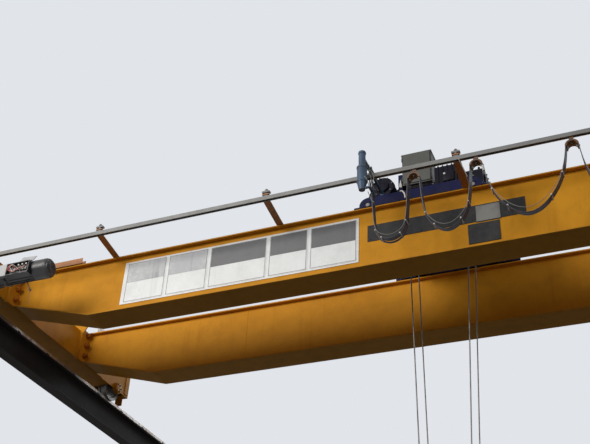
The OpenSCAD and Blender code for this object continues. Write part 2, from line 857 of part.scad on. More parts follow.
// saddle with a stem and four small rollers in the rail
module cable_carrier(i) {
  x = carrier_x[i];
  half = cable_w / 2 + 3;
  lip = festoon_z + festoon_wall;
  roller_half = festoon_w / 2 - festoon_wall - 2;
  color([0.62, 0.40, 0.22]) {
    along_y(festoon_y - half, festoon_y + half)
      translate([x, saddle_z]) difference() {
        circle(r = saddle_r);
        circle(r = saddle_r - 7);
        translate([-saddle_r - 1, -saddle_r - 1]) square([2 * saddle_r + 2, saddle_r + 1]);
      }
    along_y(festoon_y - cable_w / 2, festoon_y + cable_w / 2)
      translate([x, saddle_z]) difference() {
        circle(r = saddle_r + cable_t);
        circle(r = saddle_r - 0.5);
        translate([-saddle_r - 20, -saddle_r - 20]) square([2 * saddle_r + 40, saddle_r + 20]);
      }
    bar(x - 16, x + 16, festoon_y - 4.5, festoon_y + 4.5, saddle_z + saddle_r - 4, lip + 20);
    bar(x - 36, x + 36, festoon_y - 4.5, festoon_y + 4.5, lip + 3, lip + 20);
    for (dx = [-24, 24]) rod_y(x + dx, festoon_y - roller_half, festoon_y + roller_half, lip + 11.5, 22);
  }
}

module cable_carrier_1() { cable_carrier(0); }
module cable_carrier_2() { cable_carrier(1); }
module cable_carrier_3() { cable_carrier(2); }
module cable_carrier_4() { cable_carrier(3); }
module cable_carrier_5() { cable_carrier(4); }
module cable_carrier_6() { cable_carrier(5); }
module cable_carrier_7() { cable_carrier(6); }

// height of a loop at the share t of its width: a round foot, and sides that rise almost straight
function loop_z(z0, z1, sag, t, roundness) =
  let (
    foot = (z0 + z1) / 2 - sag,
    rise = (t < 0.5 ? z0 : z1) - foot,
    s = abs(2 * t - 1))
  foot + rise * (roundness * pow(s, 2) + (1 - roundness) * pow(s, 12));

// a hanging ribbon between two ends; its thickness is measured square to the curve
module cable_loop(x0, z0, x1, z1, sag, roundness) {
  steps = 28;
  dt = 0.002;
  ease = function(t) 0.5 - 0.5 * cos(180 * t);
  line = [for (i = [0:steps]) let (t = ease(i / steps))
    [x0 + (x1 - x0) * t, loop_z(z0, z1, sag, t, roundness)]];
  square_to = [for (i = [0:steps]) let (
      t = ease(i / steps),
      a = max(0, t - dt),
      b = min(1, t + dt),
      dx = (x1 - x0) * (b - a),
      dz = loop_z(z0, z1, sag, b, roundness) - loop_z(z0, z1, sag, a, roundness),
      len = sqrt(dx * dx + dz * dz))
    [-dz / len, dx / len] * cable_t / 2];
  along_y(festoon_y - cable_w / 2, festoon_y + cable_w / 2)
    polygon(concat([for (i = [0:steps]) line[i] + square_to[i]],
      [for (i = [steps:-1:0]) line[i] - square_to[i]]));
}

module festoon_cable() {
  side = saddle_r + cable_t / 2;
  low = saddle_z - 1.2;
  sags = [for (more = [-28, 8, -3, -7, -1, -4, 2, 10]) loop_sag + more];
  roundness = [0.22, 0.42, 0.60, 0.55, 0.58, 0.54, 0.57, 0.45];
  last = len(carrier_x) - 1;
  color([0.35, 0.36, 0.38]) {
    cable_loop(tow_x, tow_z - 2, carrier_x[0] - side, low, sags[0], roundness[0]);
    for (i = [1:last])
      cable_loop(carrier_x[i - 1] + side, low, carrier_x[i] - side, low, sags[i], roundness[i]);
    cable_loop(carrier_x[last] + side, low, fixed_x + 20, festoon_z - 61.2, sags[last + 1],
      roundness[last + 1]);
  }
}

runway_beam_left();
runway_beam_right();
crane_rails();
girder_front();
girder_rear();
end_plates();
end_carriage_left();
end_carriage_right();
trolley_rails();
travel_drive_left();
travel_drive_right();
label_board();
web_plates();
festoon_rail();
festoon_brackets();
buffers();
bridge_wheel_left_front();
bridge_wheel_left_rear();
bridge_wheel_right_front();
bridge_wheel_right_rear();
trolley_frame();
rope_drum();
hoist_gearbox();
hoist_motor();
control_box();
tow_arm();
rope_anchor();
trolley_drive();
trolley_wheel_left_front();
trolley_wheel_left_rear();
trolley_wheel_right_front();
trolley_wheel_right_rear();
rope_falls_front();
rope_falls_rear();
hook_block();
hook_sheaves();
hook();
cable_carrier_1();
cable_carrier_2();
cable_carrier_3();
cable_carrier_4();
cable_carrier_5();
cable_carrier_6();
cable_carrier_7();
festoon_cable();
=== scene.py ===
"""Looks of a double-girder overhead bridge crane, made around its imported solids."""

import json
import math

import bmesh
import bpy
from mathutils import Matrix, Vector


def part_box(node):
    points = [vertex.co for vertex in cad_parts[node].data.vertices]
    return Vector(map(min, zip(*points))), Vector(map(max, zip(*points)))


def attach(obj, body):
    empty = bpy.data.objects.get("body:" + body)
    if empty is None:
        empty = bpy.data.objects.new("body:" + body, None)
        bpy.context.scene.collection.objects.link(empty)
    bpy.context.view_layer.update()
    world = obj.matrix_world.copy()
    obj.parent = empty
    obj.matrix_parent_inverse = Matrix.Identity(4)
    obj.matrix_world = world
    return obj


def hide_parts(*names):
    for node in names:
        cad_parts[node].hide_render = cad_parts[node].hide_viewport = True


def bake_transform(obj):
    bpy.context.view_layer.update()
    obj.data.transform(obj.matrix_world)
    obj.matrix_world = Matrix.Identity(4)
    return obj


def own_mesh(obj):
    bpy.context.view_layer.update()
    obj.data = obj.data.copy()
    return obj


bl_info = {
    "name": "Overhead bridge crane looks",
    "version": (1, 0, 0),
    "blender": (4, 5, 0),
    "location": "View3D > Sidebar > Crane",
    "description": "Finishes, bolts, cables, ropes and signs of an overhead bridge crane",
    "category": "Object",
}

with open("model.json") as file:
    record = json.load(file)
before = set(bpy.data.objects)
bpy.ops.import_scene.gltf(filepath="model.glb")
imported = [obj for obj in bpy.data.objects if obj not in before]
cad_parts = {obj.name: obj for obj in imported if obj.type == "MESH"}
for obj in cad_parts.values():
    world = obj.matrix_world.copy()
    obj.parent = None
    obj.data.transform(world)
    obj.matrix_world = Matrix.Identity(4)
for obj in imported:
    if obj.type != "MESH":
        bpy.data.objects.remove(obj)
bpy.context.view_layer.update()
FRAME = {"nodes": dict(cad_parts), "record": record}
NODES = FRAME["nodes"]
NODE_SLOT = {part["node"]: part["material_slot"] for part in FRAME["record"]["subparts"]}
RATIOS = {c["joint"]: c["ratio"] for c in FRAME["record"]["behaviour"]["couplings"]}


def low(node):
    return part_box(node)[0]


def high(node):
    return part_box(node)[1]


def centre(node):
    lowest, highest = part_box(node)
    return (lowest + highest) / 2


# Places taken from the frame, in metres
SPAN = centre("runway_beam_right").x
MID = SPAN / 2
GIRDER_Y = centre("girder_rear").y
GIRDER_TOP = high("girder_front").z
GIRDER_FOOT = low("girder_front").z
GIRDER_HALF = (high("girder_front").y - low("girder_front").y) / 2
BOARD_FACE = low("label_board").y
RAIL_Y = centre("festoon_rail").y
RAIL_FOOT = low("festoon_rail").z
WHEEL = centre("bridge_wheel_left_front")
DRUM = centre("rope_drum")
HOIST_FOOT = low("hoist_gearbox").z
POST_X = low("tow_arm").x + 0.043
POST_Y = RAIL_Y - 0.095

# Sizes of the solids that no box tells
WEB_OUT = 0.100
PLATE_INNER = 0.150
MOTOR_Y = -0.430
MOTOR_Z = HOIST_FOOT + 0.104

SIDES = (-1, 1)
ENDS = ((0, 1), (SPAN, -1))
UP = (0, 0, 1)
TO_FRONT = (0, -1, 0)


def colour_setting(name, description, default):
    return bpy.props.FloatVectorProperty(
        name=name, description=description, subtype="COLOR", size=3, min=0, max=1, default=default,
    )


class CraneSettings(bpy.types.PropertyGroup):
    """Sizes and colours that a user would change"""

    yellow: colour_setting("Crane yellow", "Paint of the girders, carriages and hook block",
                           (0.64, 0.285, 0.019))
    # The trolley blue is darkened below the lit paint's tone: partly painted shade on the frame.
    blue: colour_setting("Trolley blue", "Paint of the trolley frame", (0.009, 0.011, 0.056))
    slate: colour_setting("Hoist blue", "Paint of the hoist gearbox and motors", (0.008, 0.008, 0.015))
    sheath: colour_setting("Cable grey", "Sheath of the flat cables", (0.030, 0.030, 0.044))
    dust: bpy.props.FloatProperty(
        name="Dust", description="How much dust lies on faces that look up",
        subtype="FACTOR", min=0, max=1, default=0.55,
    )
    rope_lay: bpy.props.FloatProperty(
        name="Rope lay", description="Length of one turn of the strands in a rope",
        subtype="DISTANCE", unit="LENGTH", min=0.03, max=0.3, default=0.085,
    )
    lamp: bpy.props.FloatProperty(
        name="Key lamp", description="Power of the large soft lamp",
        subtype="POWER", unit="POWER", min=0, default=1400,
    )
    camera_place: bpy.props.FloatVectorProperty(
        name="Camera place", description="Where the camera stands",
        subtype="XYZ", unit="LENGTH", size=3, default=(6.067, -7.3806, -4.2704),
    )
    camera_turn: bpy.props.FloatVectorProperty(
        name="Camera turn", description="Heading, pitch and roll of the camera",
        subtype="EULER", unit="ROTATION", size=3,
        default=(math.radians(-23.993), math.radians(34.848), math.radians(3.055)),
    )
    camera_lens: bpy.props.FloatProperty(
        name="Camera lens", description="Focal length on a 36 mm sensor",
        min=10, max=300, default=59.6,
    )


def settings():
    return bpy.context.scene.crane_looks


# Shader nodes and groups

def wire(tree, source, target):
    tree.links.new(source, target)


def feed(tree, value, socket):
    """Links a socket, or sets a plain value."""
    if hasattr(value, "is_output"):
        wire(tree, value, socket)
    else:
        socket.default_value = value


def add_node(tree, kind, **values):
    """A shader node with its inputs fed by name."""
    node = tree.nodes.new("ShaderNode" + kind)
    for label, value in values.items():
        feed(tree, value, node.inputs[label.replace("_", " ")])
    return node


def math_node(tree, operation, a, b, clamp=False):
    node = tree.nodes.new("ShaderNodeMath")
    node.operation = operation
    node.use_clamp = clamp
    feed(tree, a, node.inputs[0])
    feed(tree, b, node.inputs[1])
    return node.outputs[0]


def noise_node(tree, vector, scale, detail=4.0, rough=0.55):
    node = add_node(tree, "TexNoise", Detail=detail, Roughness=rough, Scale=scale, Vector=vector)
    return node.outputs["Fac"]


def ramp(tree, value, start, end):
    """0 below start, 1 above end, smooth in between."""
    node = tree.nodes.new("ShaderNodeMapRange")
    node.interpolation_type = "SMOOTHSTEP"
    for label, given in (("From Min", start), ("From Max", end), ("Value", value)):
        feed(tree, given, node.inputs[label])
    return node.outputs["Result"]


def mix_node(tree, kind, mask, first, second):
    """A mix of two colours or two numbers."""
    node = tree.nodes.new("ShaderNodeMix")
    node.data_type = kind
    for label, given in (("Factor", mask), ("A", first), ("B", second)):
        feed(tree, given, node.inputs[label])
    return node.outputs["Result"]


def product(tree, a, b, clamp=False):
    return math_node(tree, "MULTIPLY", a, b, clamp)


def draw_blotches(group, given):
    """Soft blotches at two scales: dirt, and on the trolley paint also painted shade."""
    wide = noise_node(group, given["Vector"], given["Scale"], 5.0, 0.6)
    fine = noise_node(group, given["Vector"], product(group, given["Scale"], 9.0), 6.0, 0.65)
    both = math_node(group, "ADD", product(group, wide, 0.65), product(group, fine, 0.35))
    return ramp(group, both, 0.42, 0.66)


def draw_streaks(group, given):
    """Thin marks that run down the surface."""
    long = add_node(group, "Mapping", Scale=(14.0, 14.0, 0.7), Vector=given["Vector"]).outputs["Vector"]
    thin = ramp(group, noise_node(group, long, 1.0, 4.0, 0.6), 0.53, 0.72)
    patch = ramp(group, noise_node(group, given["Vector"], 1.3, 2.0), 0.38, 0.62)
    return product(group, thin, patch)


def draw_dust(group, given):
    """Dust on faces that look up, broken by noise."""
    normal = group.nodes.new("ShaderNodeNewGeometry").outputs["Normal"]
    upward = ramp(group, add_node(group, "SeparateXYZ", Vector=normal).outputs["Z"], 0.35, 0.95)
    broken = ramp(group, noise_node(group, given["Vector"], 6.0, 6.0, 0.6), 0.30, 0.60)
    return product(group, upward, broken)


def draw_wear(group, given):
    """Edges rubbed through to the layer below."""
    bevel = add_node(group, "Bevel", Radius=0.0028)
    bevel.samples = 4
    dot = group.nodes.new("ShaderNodeVectorMath")
    dot.operation = "DOT_PRODUCT"
    wire(group, bevel.outputs["Normal"], dot.inputs[0])
    wire(group, group.nodes.new("ShaderNodeNewGeometry").outputs["Normal"], dot.inputs[1])
    edge = ramp(group, math_node(group, "SUBTRACT", 1.0, dot.outputs["Value"]), 0.03, 0.20)
    patch = ramp(group, noise_node(group, given["Vector"], 24.0, 5.0, 0.65), 0.46, 0.62)
    return product(group, edge, patch)


def draw_grain(group, given):
    """Height of a sprayed or cast surface: a fine grain on slow waves."""
    fine = noise_node(group, given["Vector"], given["Scale"], 3.0)
    slow = noise_node(group, given["Vector"], 2.2, 2.0)
    return math_node(group, "ADD", product(group, fine, 0.08), product(group, slow, given["Waves"]))


# What draws each group, and the numbers that it takes
GROUPS = {
    "Grime": (draw_blotches, {"Scale": 3.0, "Amount": 0.5}),
    "Run Marks": (draw_streaks, {"Amount": 0.4}),
    "Settled Dust": (draw_dust, {"Amount": 0.5}),
    "Edge Wear": (draw_wear, {"Amount": 0.4}),
    "Surface Grain": (draw_grain, {"Scale": 220.0, "Waves": 0.5}),
}


def new_group(name):
    """A shader group that takes a vector and numbers, and gives a mask or a height."""
    draw, numbers = GROUPS[name]
    output = "Mask" if "Amount" in numbers else "Height"
    group = bpy.data.node_groups.new(name, "ShaderNodeTree")
    group.interface.new_socket(name="Vector", in_out="INPUT", socket_type="NodeSocketVector")
    for label, value in numbers.items():
        made = group.interface.new_socket(name=label, in_out="INPUT", socket_type="NodeSocketFloat")
        made.default_value = value
    group.interface.new_socket(name=output, in_out="OUTPUT", socket_type="NodeSocketFloat")
    given = group.nodes.new("NodeGroupInput").outputs
    result = draw(group, given)
    if output == "Mask":
        result = product(group, result, given["Amount"], True)
    wire(group, result, group.nodes.new("NodeGroupOutput").inputs[output])
    return group


DUST = (0.30, 0.25, 0.19)
SOOT = (0.030, 0.022, 0.016)
BARE = (0.32, 0.31, 0.30)
RUST = (0.16, 0.055, 0.018)


class Finish:
    """A material under construction: a Principled shader whose colour is built layer by layer."""

    def __init__(self, name, colour, rough, metallic=0.0):
        self.material = bpy.data.materials.new(name)
        self.material.use_nodes = True
        self.tree = self.material.node_tree
        self.shader = self.tree.nodes["Principled BSDF"]
        self.shader.inputs["Metallic"].default_value = metallic
        self.vector = self.tree.nodes.new("ShaderNodeTexCoord").outputs["Object"]
        base = self.tree.nodes.new("ShaderNodeRGB")
        base.outputs[0].default_value = (*colour, 1)
        self.colour = base.outputs[0]
        self.rough = rough

    def group(self, name, **values):
        node = self.tree.nodes.new("ShaderNodeGroup")
        node.node_tree = bpy.data.node_groups.get(name) or new_group(name)
        wire(self.tree, self.vector, node.inputs["Vector"])
        for label, value in values.items():
            node.inputs[label].default_value = value
        return node.outputs[0]

    def layer(self, mask, colour, rough=None):
        """Lays a colour, and a roughness if it has its own, over what is there."""
        self.colour = mix_node(self.tree, "RGBA", mask, self.colour, (*colour, 1))
        if rough is not None:
            self.rough = mix_node(self.tree, "FLOAT", mask, self.rough, rough)

    # Blotches of a colour: dirt, stains or fading, and on the trolley paint painted shade.
    def grime(self, scale, amount, colour, rough=None):
        self.layer(self.group("Grime", Scale=scale, Amount=amount), colour, rough)

    def streaks(self, amount, colour, rough=None):
        self.layer(self.group("Run Marks", Amount=amount), colour, rough)

    def wear(self, amount, colour, rough):
        self.layer(self.group("Edge Wear", Amount=amount), colour, rough)

    def dust(self, amount, rough=0.9):
        self.layer(self.group("Settled Dust", Amount=amount), DUST, rough)

    def gloss(self, coat, coat_rough, specular):
        self.shader.inputs["Coat Weight"].default_value = coat
        self.shader.inputs["Coat Roughness"].default_value = coat_rough
        self.shader.inputs["Specular IOR Level"].default_value = specular

    def done(self, scale, waves, strength, distance=0.002):
        """Adds the grain as a bump, and joins all to the shader."""
        height = self.group("Surface Grain", Scale=scale, Waves=waves)
        node = add_node(self.tree, "Bump", Strength=strength, Distance=distance, Height=height)
        wire(self.tree, node.outputs["Normal"], self.shader.inputs["Normal"])
        wire(self.tree, self.colour, self.shader.inputs["Base Color"])
        feed(self.tree, self.rough, self.shader.inputs["Roughness"])
        return self.material


def times(tone, factors):
    return [c * f for c, f in zip(tone, factors)]


def painted(name, colour, rough, shade, grime, streaks, wear, specular=0.5, coat=0.0, waves=0.5):
    """Sprayed paint with dirt, run marks, dust and rubbed edges. Shade is its darker tone. On the trolley
    paint the large dark blotches are partly painted shade.
    """
    f = Finish(name, colour, rough)
    f.grime(1.1, grime, shade, min(1, rough + 0.15))
    f.streaks(streaks, shade, min(1, rough + 0.2))
    f.grime(7.0, grime * 0.5, SOOT)
    f.wear(wear, BARE, 0.5)
    f.dust(settings().dust)
    f.gloss(coat, 0.25, specular)
    return f.done(260.0, waves, 0.35)


def chosen_paint(name, setting, tint, rough, dark, *amounts):
    """Paint in the tone of a setting times a tint. Dark turns it in to the darker tone."""
    tone = times(getattr(settings(), setting), tint)
    return painted(name, tone, rough, times(tone, dark), *amounts)


def sign_faded():
    """Header panels that the sun has washed out in patches."""
    f = Finish("Sign faded enamel", (0.42, 0.43, 0.45), 0.5)
    f.grime(2.6, 0.9, (0.62, 0.64, 0.65))
    f.streaks(0.9, (0.22, 0.22, 0.24))
    return f.done(200.0, 0.1, 0.2)


def dull_plate():
    """Old dark plates with scuffs in several greys."""
    f = Finish("Dull dark plate", (0.014, 0.014, 0.016), 0.55)
    f.grime(5.0, 0.9, (0.036, 0.036, 0.037), 0.65)
    f.streaks(0.9, (0.008, 0.008, 0.009), 0.5)
    f.grime(16.0, 0.4, (0.060, 0.056, 0.050), 0.7)
    f.shader.inputs["Specular IOR Level"].default_value = 0.2
    return f.done(120.0, 0.4, 0.4)


def tarnished_plate():
    f = Finish("Tarnished pale plate", (0.155, 0.153, 0.140), 0.5, 0.3)
    f.grime(6.0, 0.8, (0.085, 0.080, 0.072), 0.6)
    f.wear(0.5, (0.05, 0.045, 0.04), 0.6)
    return f.done(180.0, 0.5, 0.3)


def metal(name, colour, rough, stain, stain_amount, metallic, grain):
    """Bare steel or iron, stained, with bright edges."""
    f = Finish(name, colour, rough, metallic)
    f.grime(9.0, stain_amount, stain, min(1, rough + 0.25))
    f.wear(0.5, (0.6, 0.59, 0.57), 0.35)
    f.dust(settings().dust * 0.7)
    return f.done(grain, 0.2, 0.4)


def galvanised():
    """Dull grey zinc of the cable rail, smooth, with a faint spangle."""
    f = Finish("Galvanised section", (0.18, 0.18, 0.175), 0.55, 0.30)
    cells = add_node(f.tree, "TexVoronoi", Scale=55.0, Vector=f.vector)
    f.layer(product(f.tree, cells.outputs["Color"], 0.12), (0.26, 0.265, 0.27), 0.45)
    f.grime(1.6, 0.5, (0.12, 0.11, 0.10), 0.65)
    f.streaks(0.3, (0.135, 0.13, 0.125))
    f.dust(settings().dust)
    return f.done(300.0, 0.1, 0.15)


def greased_rope():
    f = Finish("Greased wire rope", (0.17, 0.16, 0.15), 0.45, 0.75)
    f.grime(12.0, 0.7, (0.035, 0.030, 0.025), 0.35)
    return f.done(700.0, 0.0, 0.5, 0.001)


def buffer_black():
    f = Finish("Moulded rubber", (0.018, 0.018, 0.018), 0.75)
    f.grime(10.0, 0.4, (0.06, 0.055, 0.05), 0.9)
    f.dust(settings().dust, 0.95)
    return f.done(400.0, 0.1, 0.4)


def carrier_brown():
    f = Finish("Cable saddle", (0.15, 0.070, 0.032), 0.5)
    f.grime(18.0, 0.6, (0.05, 0.03, 0.02), 0.6)
    f.wear(0.4, (0.30, 0.20, 0.11), 0.5)
    return f.done(320.0, 0.1, 0.3)


def cable_sheath():
    """Ribbed flat-cable sheath, scuffed to a paler grey."""
    base = settings().sheath
    f = Finish("Flat cable sheath", base, 0.38)
    f.grime(8.0, 0.5, times(base, (1.9, 1.9, 1.9)), 0.55)
    f.dust(0.2)
    f.gloss(0.1, 0.3, 0.25)
    return f.done(420.0, 0.1, 0.3)


def wire_cover(name, colour):
    f = Finish(name, colour, 0.4)
    f.grime(20.0, 0.4, times(colour, (0.45, 0.45, 0.45)), 0.6)
    return f.done(500.0, 0.0, 0.2, 0.001)


# A maker and what it is given, for each slot of the record and for the finishes of single pieces
FINISHES = {
    "girder_paint": (chosen_paint, "Crane yellow paint", "yellow", (1, 1, 1), 0.50,
                     (0.62, 0.50, 0.6), 0.24, 0.30, 0.35, 0.06),
    "nut_orange": (chosen_paint, "Nut orange paint", "yellow", (0.75, 0.55, 0.8), 0.5,
                   (0.4, 0.4, 0.4), 0.6, 0.5, 0.3, 0.06),
    # The trolley paint's very dark tone and heavy blotches stand partly for painted shade on the frame.
    "trolley_paint": (chosen_paint, "Trolley blue paint", "blue", (1, 1, 1), 0.45,
                      (0.35, 0.35, 0.35), 0.6, 0.4, 0.3, 0.08),
    "hoist_paint": (chosen_paint, "Hoist slate paint", "slate", (1, 1, 1), 0.45,
                    (0.5, 0.5, 0.5), 0.4, 0.3, 0.25, 0.08),
    "black_steel": (painted, "Black painted steel", (0.0075, 0.0065, 0.006), 0.7,
                    (0.018, 0.014, 0.012), 0.5, 0.4, 0.15, 0.12),
    "drive_paint": (painted, "Black motor paint", (0.014, 0.014, 0.016), 0.38,
                    (0.05, 0.045, 0.04), 0.35, 0.2, 0.3, 0.5, 0.2),
    "post_paint": (painted, "Tow post blue-grey paint", (0.065, 0.110, 0.175), 0.42,
                   (0.025, 0.045, 0.085), 0.4, 0.4, 0.4, 0.3),
    "bracket_paint": (painted, "Bracket orange paint", (0.42, 0.15, 0.03), 0.5,
                      (0.17, 0.06, 0.02), 0.5, 0.4, 0.4),
    "box_paint": (painted, "Cabinet grey paint", (0.098, 0.099, 0.091), 0.5,
                  (0.066, 0.065, 0.060), 0.3, 0.4, 0.15, 0.25, 0.0, 0.2),
    "board": (painted, "Sign white enamel", (0.72, 0.74, 0.75), 0.38,
              (0.50, 0.50, 0.48), 0.22, 0.35, 0.1, 0.5, 0.2, 0.15),
    "sign_grey": (painted, "Sign grey enamel", (0.060, 0.062, 0.070), 0.42,
                  (0.13, 0.13, 0.13), 0.4, 0.5, 0.15, 0.5, 0.0, 0.15),
    "pale_enamel": (painted, "Pale cover enamel", (0.50, 0.50, 0.52), 0.42,
                    (0.28, 0.27, 0.26), 0.4, 0.4, 0.2, 0.5, 0.0, 0.1),
    "rail_steel": (metal, "Worn rail steel", (0.30, 0.28, 0.26), 0.42, RUST, 0.75, 0.7, 180.0),
    "wheel_steel": (metal, "Wheel and bolt steel", (0.17, 0.165, 0.16), 0.48,
                    (0.06, 0.045, 0.035), 0.6, 0.7, 180.0),
    "sheave_iron": (metal, "Dark cast iron", (0.10, 0.10, 0.105), 0.5,
                    (0.04, 0.028, 0.02), 0.6, 0.6, 90.0),
    "hook_steel": (metal, "Forged hook steel", (0.055, 0.055, 0.058), 0.42,
                   (0.09, 0.045, 0.02), 0.5, 0.6, 60.0),
    "wire_pale": (wire_cover, "Pale steel cord", (0.22, 0.21, 0.19)),
    "wire_red": (wire_cover, "Red wire", (0.45, 0.10, 0.09)),
    "wire_white": (wire_cover, "White wire", (0.60, 0.58, 0.54)),
    "wire_black": (wire_cover, "Black wire", (0.016, 0.016, 0.018)),
    "web_plate": (dull_plate,),
    "rail_galvanised": (galvanised,),
    "buffer_rubber": (buffer_black,),
    "rope_steel": (greased_rope,),
    "carrier": (carrier_brown,),
    "cable": (cable_sheath,),
    "sign_faded": (sign_faded,),
    "tarnished_plate": (tarnished_plate,),
}
MADE = {}


def finish_of(key):
    """The material of a finish, made when it is first asked for."""
    if key not in MADE:
        maker, *given = FINISHES[key]
        MADE[key] = maker(*given)
    return MADE[key]


# Making pieces

def mesh_from(name, bm):
    mesh = bpy.data.meshes.new(name)
    bm.to_mesh(mesh)
    bm.free()
    return mesh


def put(name, data):
    """A new object in the scene."""
    obj = bpy.data.objects.new(name, data)
    bpy.context.scene.collection.objects.link(obj)
    return obj


def piece(name, bm, body, slot, finish=None, smooth=None):
    """Turns a bmesh in to a finished piece that rides on a body."""
    bmesh.ops.recalc_face_normals(bm, faces=bm.faces)
    mesh = mesh_from(name, bm)
    obj = put(name, mesh)
    mesh.materials.append(finish_of(finish or slot))
    if smooth is not None:
        mesh.shade_smooth()
        mesh.set_sharp_from_angle(angle=math.radians(smooth))
    if body:
        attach(obj, body)
    return obj


def break_edges(bm, edges, width, segments):
    return bmesh.ops.bevel(bm, geom=edges, offset=width, segments=segments, affect="EDGES",
                           profile=0.5, material=-1)["verts"]


def edges_of(verts):
    return list({e for v in verts for e in v.link_edges})


def block(bm, corner, opposite, bevel=0.0, segments=1):
    """A box between two opposite corners, with its edges broken."""
    corner, opposite = Vector(corner), Vector(opposite)
    made = bmesh.ops.create_cube(bm, size=1.0)["verts"]
    bmesh.ops.scale(bm, vec=[abs(d) for d in opposite - corner], verts=made)
    bmesh.ops.translate(bm, vec=(corner + opposite) / 2, verts=made)
    if bevel:
        break_edges(bm, edges_of(made), bevel, segments)
    return made


def facing(place, direction, spin=0.0):
    """Turns Z to a direction at a place."""
    turn = Vector(direction).to_track_quat("Z", "Y").to_matrix().to_4x4()
    return Matrix.Translation(Vector(place)) @ turn @ Matrix.Rotation(spin, 4, "Z")


def rod(bm, start, end, radius, radius_end=None, segments=20, bevel=0.0):
    """A round bar or cone between two points."""
    start, end = Vector(start), Vector(end)
    made = bmesh.ops.create_cone(
        bm, cap_ends=True, segments=segments, radius1=radius,
        radius2=radius if radius_end is None else radius_end, depth=(end - start).length,
    )["verts"]
    if bevel:
        rims = [e for e in edges_of(made) if any(len(f.verts) == segments for f in e.link_faces)]
        rounded = break_edges(bm, rims, bevel, 2)
        made = list({v for v in made if v.is_valid} | set(rounded))
    bmesh.ops.transform(bm, matrix=facing((start + end) / 2, end - start), verts=made)


def stub(bm, place, way, length, radius, segments=20, bevel=0.0):
    """A round bar that stands out of a place."""
    rod(bm, place, Vector(place) + Vector(way) * length, radius, None, segments, bevel)


def move_new(bm, before, matrix):
    """Moves what was added since the vertices were counted."""
    bm.verts.ensure_lookup_table()
    bmesh.ops.transform(bm, matrix=matrix, verts=bm.verts[before:])


def bolt_mesh(across):
    """A nut on a washer with the bolt's end standing out of it, along Z from 0."""
    bm = bmesh.new()
    washer, nut, end = across * 0.14, across * 0.52, across * 0.3
    for sides, radius, top_radius, depth, middle in (
        (16, 0.62, 0.60, washer, washer / 2),
        (6, 0.57, 0.57, nut, washer + nut / 2),
        (12, 0.32, 0.27, end, washer + nut + across * 0.12),
    ):
        made = bmesh.ops.create_cone(bm, cap_ends=True, segments=sides, radius1=across * radius,
                                     radius2=across * top_radius, depth=depth)["verts"]
        tops = [e for e in edges_of(made) if all(v.co.z > 0 for v in e.verts)]
        bmesh.ops.translate(bm, vec=(0, 0, middle), verts=made)
        if depth == nut:
            break_edges(bm, tops, across * 0.07, 1)
    return mesh_from("bolt_pattern_source", bm)


def bolts(name, body, across, places, slot="wheel_steel", finish=None):
    """Many bolts in one mesh. Places are pairs of a point and the way the bolt looks."""
    source = bolt_mesh(across)
    turn_each = 0.7
    bm = bmesh.new()
    for i, (place, direction) in enumerate(places):
        before = len(bm.verts)
        bm.from_mesh(source)
        move_new(bm, before, facing(place, direction, i * turn_each))
    bpy.data.meshes.remove(source)
    piece(name, bm, body, slot, finish)


def ring_places(middle, axis, radius, count, start=0.0):
    """Points round a circle, each looking along the axis."""
    turned = facing(middle, axis)
    angles = [start + math.tau * i / count for i in range(count)]
    return [(turned @ Vector((radius * math.cos(a), radius * math.sin(a), 0)), axis) for a in angles]


def tube(bm, points, radius, sides=10, flat=None):
    """A round or flat cable along points. Flat is its half width across the plane it bends in."""
    curve = bpy.data.curves.new("cable_path", "CURVE")
    curve.dimensions = "3D"
    curve.bevel_depth = radius
    curve.bevel_resolution = max(1, sides // 4)
    curve.use_fill_caps = True
    if flat:
        curve.dimensions = "2D"
        curve.extrude = flat
    line = curve.splines.new("POLY")
    line.points.add(len(points) - 1)
    for point, place in zip(line.points, points):
        point.co = (*place, 1)
    holder = bpy.data.objects.new("cable_path", curve)
    mesh = bpy.data.meshes.new_from_object(holder)
    bm.from_mesh(mesh)
    bpy.data.objects.remove(holder)
    bpy.data.curves.remove(curve)
    bpy.data.meshes.remove(mesh)


def smooth_path(knots, steps=8):
    """A smooth line through a few knots, by Catmull and Rom's rule."""
    knots = [Vector(k) for k in knots]
    ends = [knots[0] * 2 - knots[1], *knots, knots[-1] * 2 - knots[-2]]
    made = []
    for a, b, c, d in zip(ends, ends[1:], ends[2:], ends[3:]):
        for i in range(steps):
            t = i / steps
            made.append(0.5 * ((2 * b) + (c - a) * t + (2 * a - 5 * b + 4 * c - d) * t * t
                               + (3 * b - a - 3 * c + d) * t ** 3))
    return [*made, knots[-1]]


def both_ends(x):
    """A place along the span and its mirror image."""
    return [x, SPAN - x]


# Pieces of the bridge

def end_joint_bolts():
    """Painted nuts on the bolted end plates, beside each girder's webs."""
    beside = GIRDER_HALF + 0.004
    places = [
        ((x, y + side * beside, z), (way, 0, 0))
        for x, way in zip(both_ends(PLATE_INNER), (1, -1))
        for y in (-GIRDER_Y, GIRDER_Y) for side in SIDES for z in (0.490, 0.610, 0.730)
    ]
    bolts("end_plate_bolts", "bridge", 0.050, places, "girder_paint", "nut_orange")


def girder_welds():
    """Weld beads along the web corners, and the splice across the webs."""
    kink, rise, splice = 1.050, 0.257, 2.070
    bead, inset, sunk = 0.005, 0.013, 0.003
    roof, foot = GIRDER_TOP - inset, GIRDER_FOOT + inset
    start, end = both_ends(PLATE_INNER)
    corners = [(start, foot + rise), (kink, foot), (SPAN - kink, foot), (end, foot + rise)]
    for label, y in (("front", -GIRDER_Y), ("rear", GIRDER_Y)):
        bm = bmesh.new()
        for side in SIDES:
            web = y + side * (WEB_OUT + 0.001)
            for (xa, za), (xb, zb) in (((start, roof), (end, roof)), *zip(corners, corners[1:])):
                rod(bm, (xa, web, za), (xb, web, zb), bead, segments=8)
            for x in both_ends(splice):
                rod(bm, (x, web - side * sunk, foot), (x, web - side * sunk, roof), bead, segments=8)
        piece(f"girder_welds_{label}", bm, "bridge", "girder_paint", smooth=40)


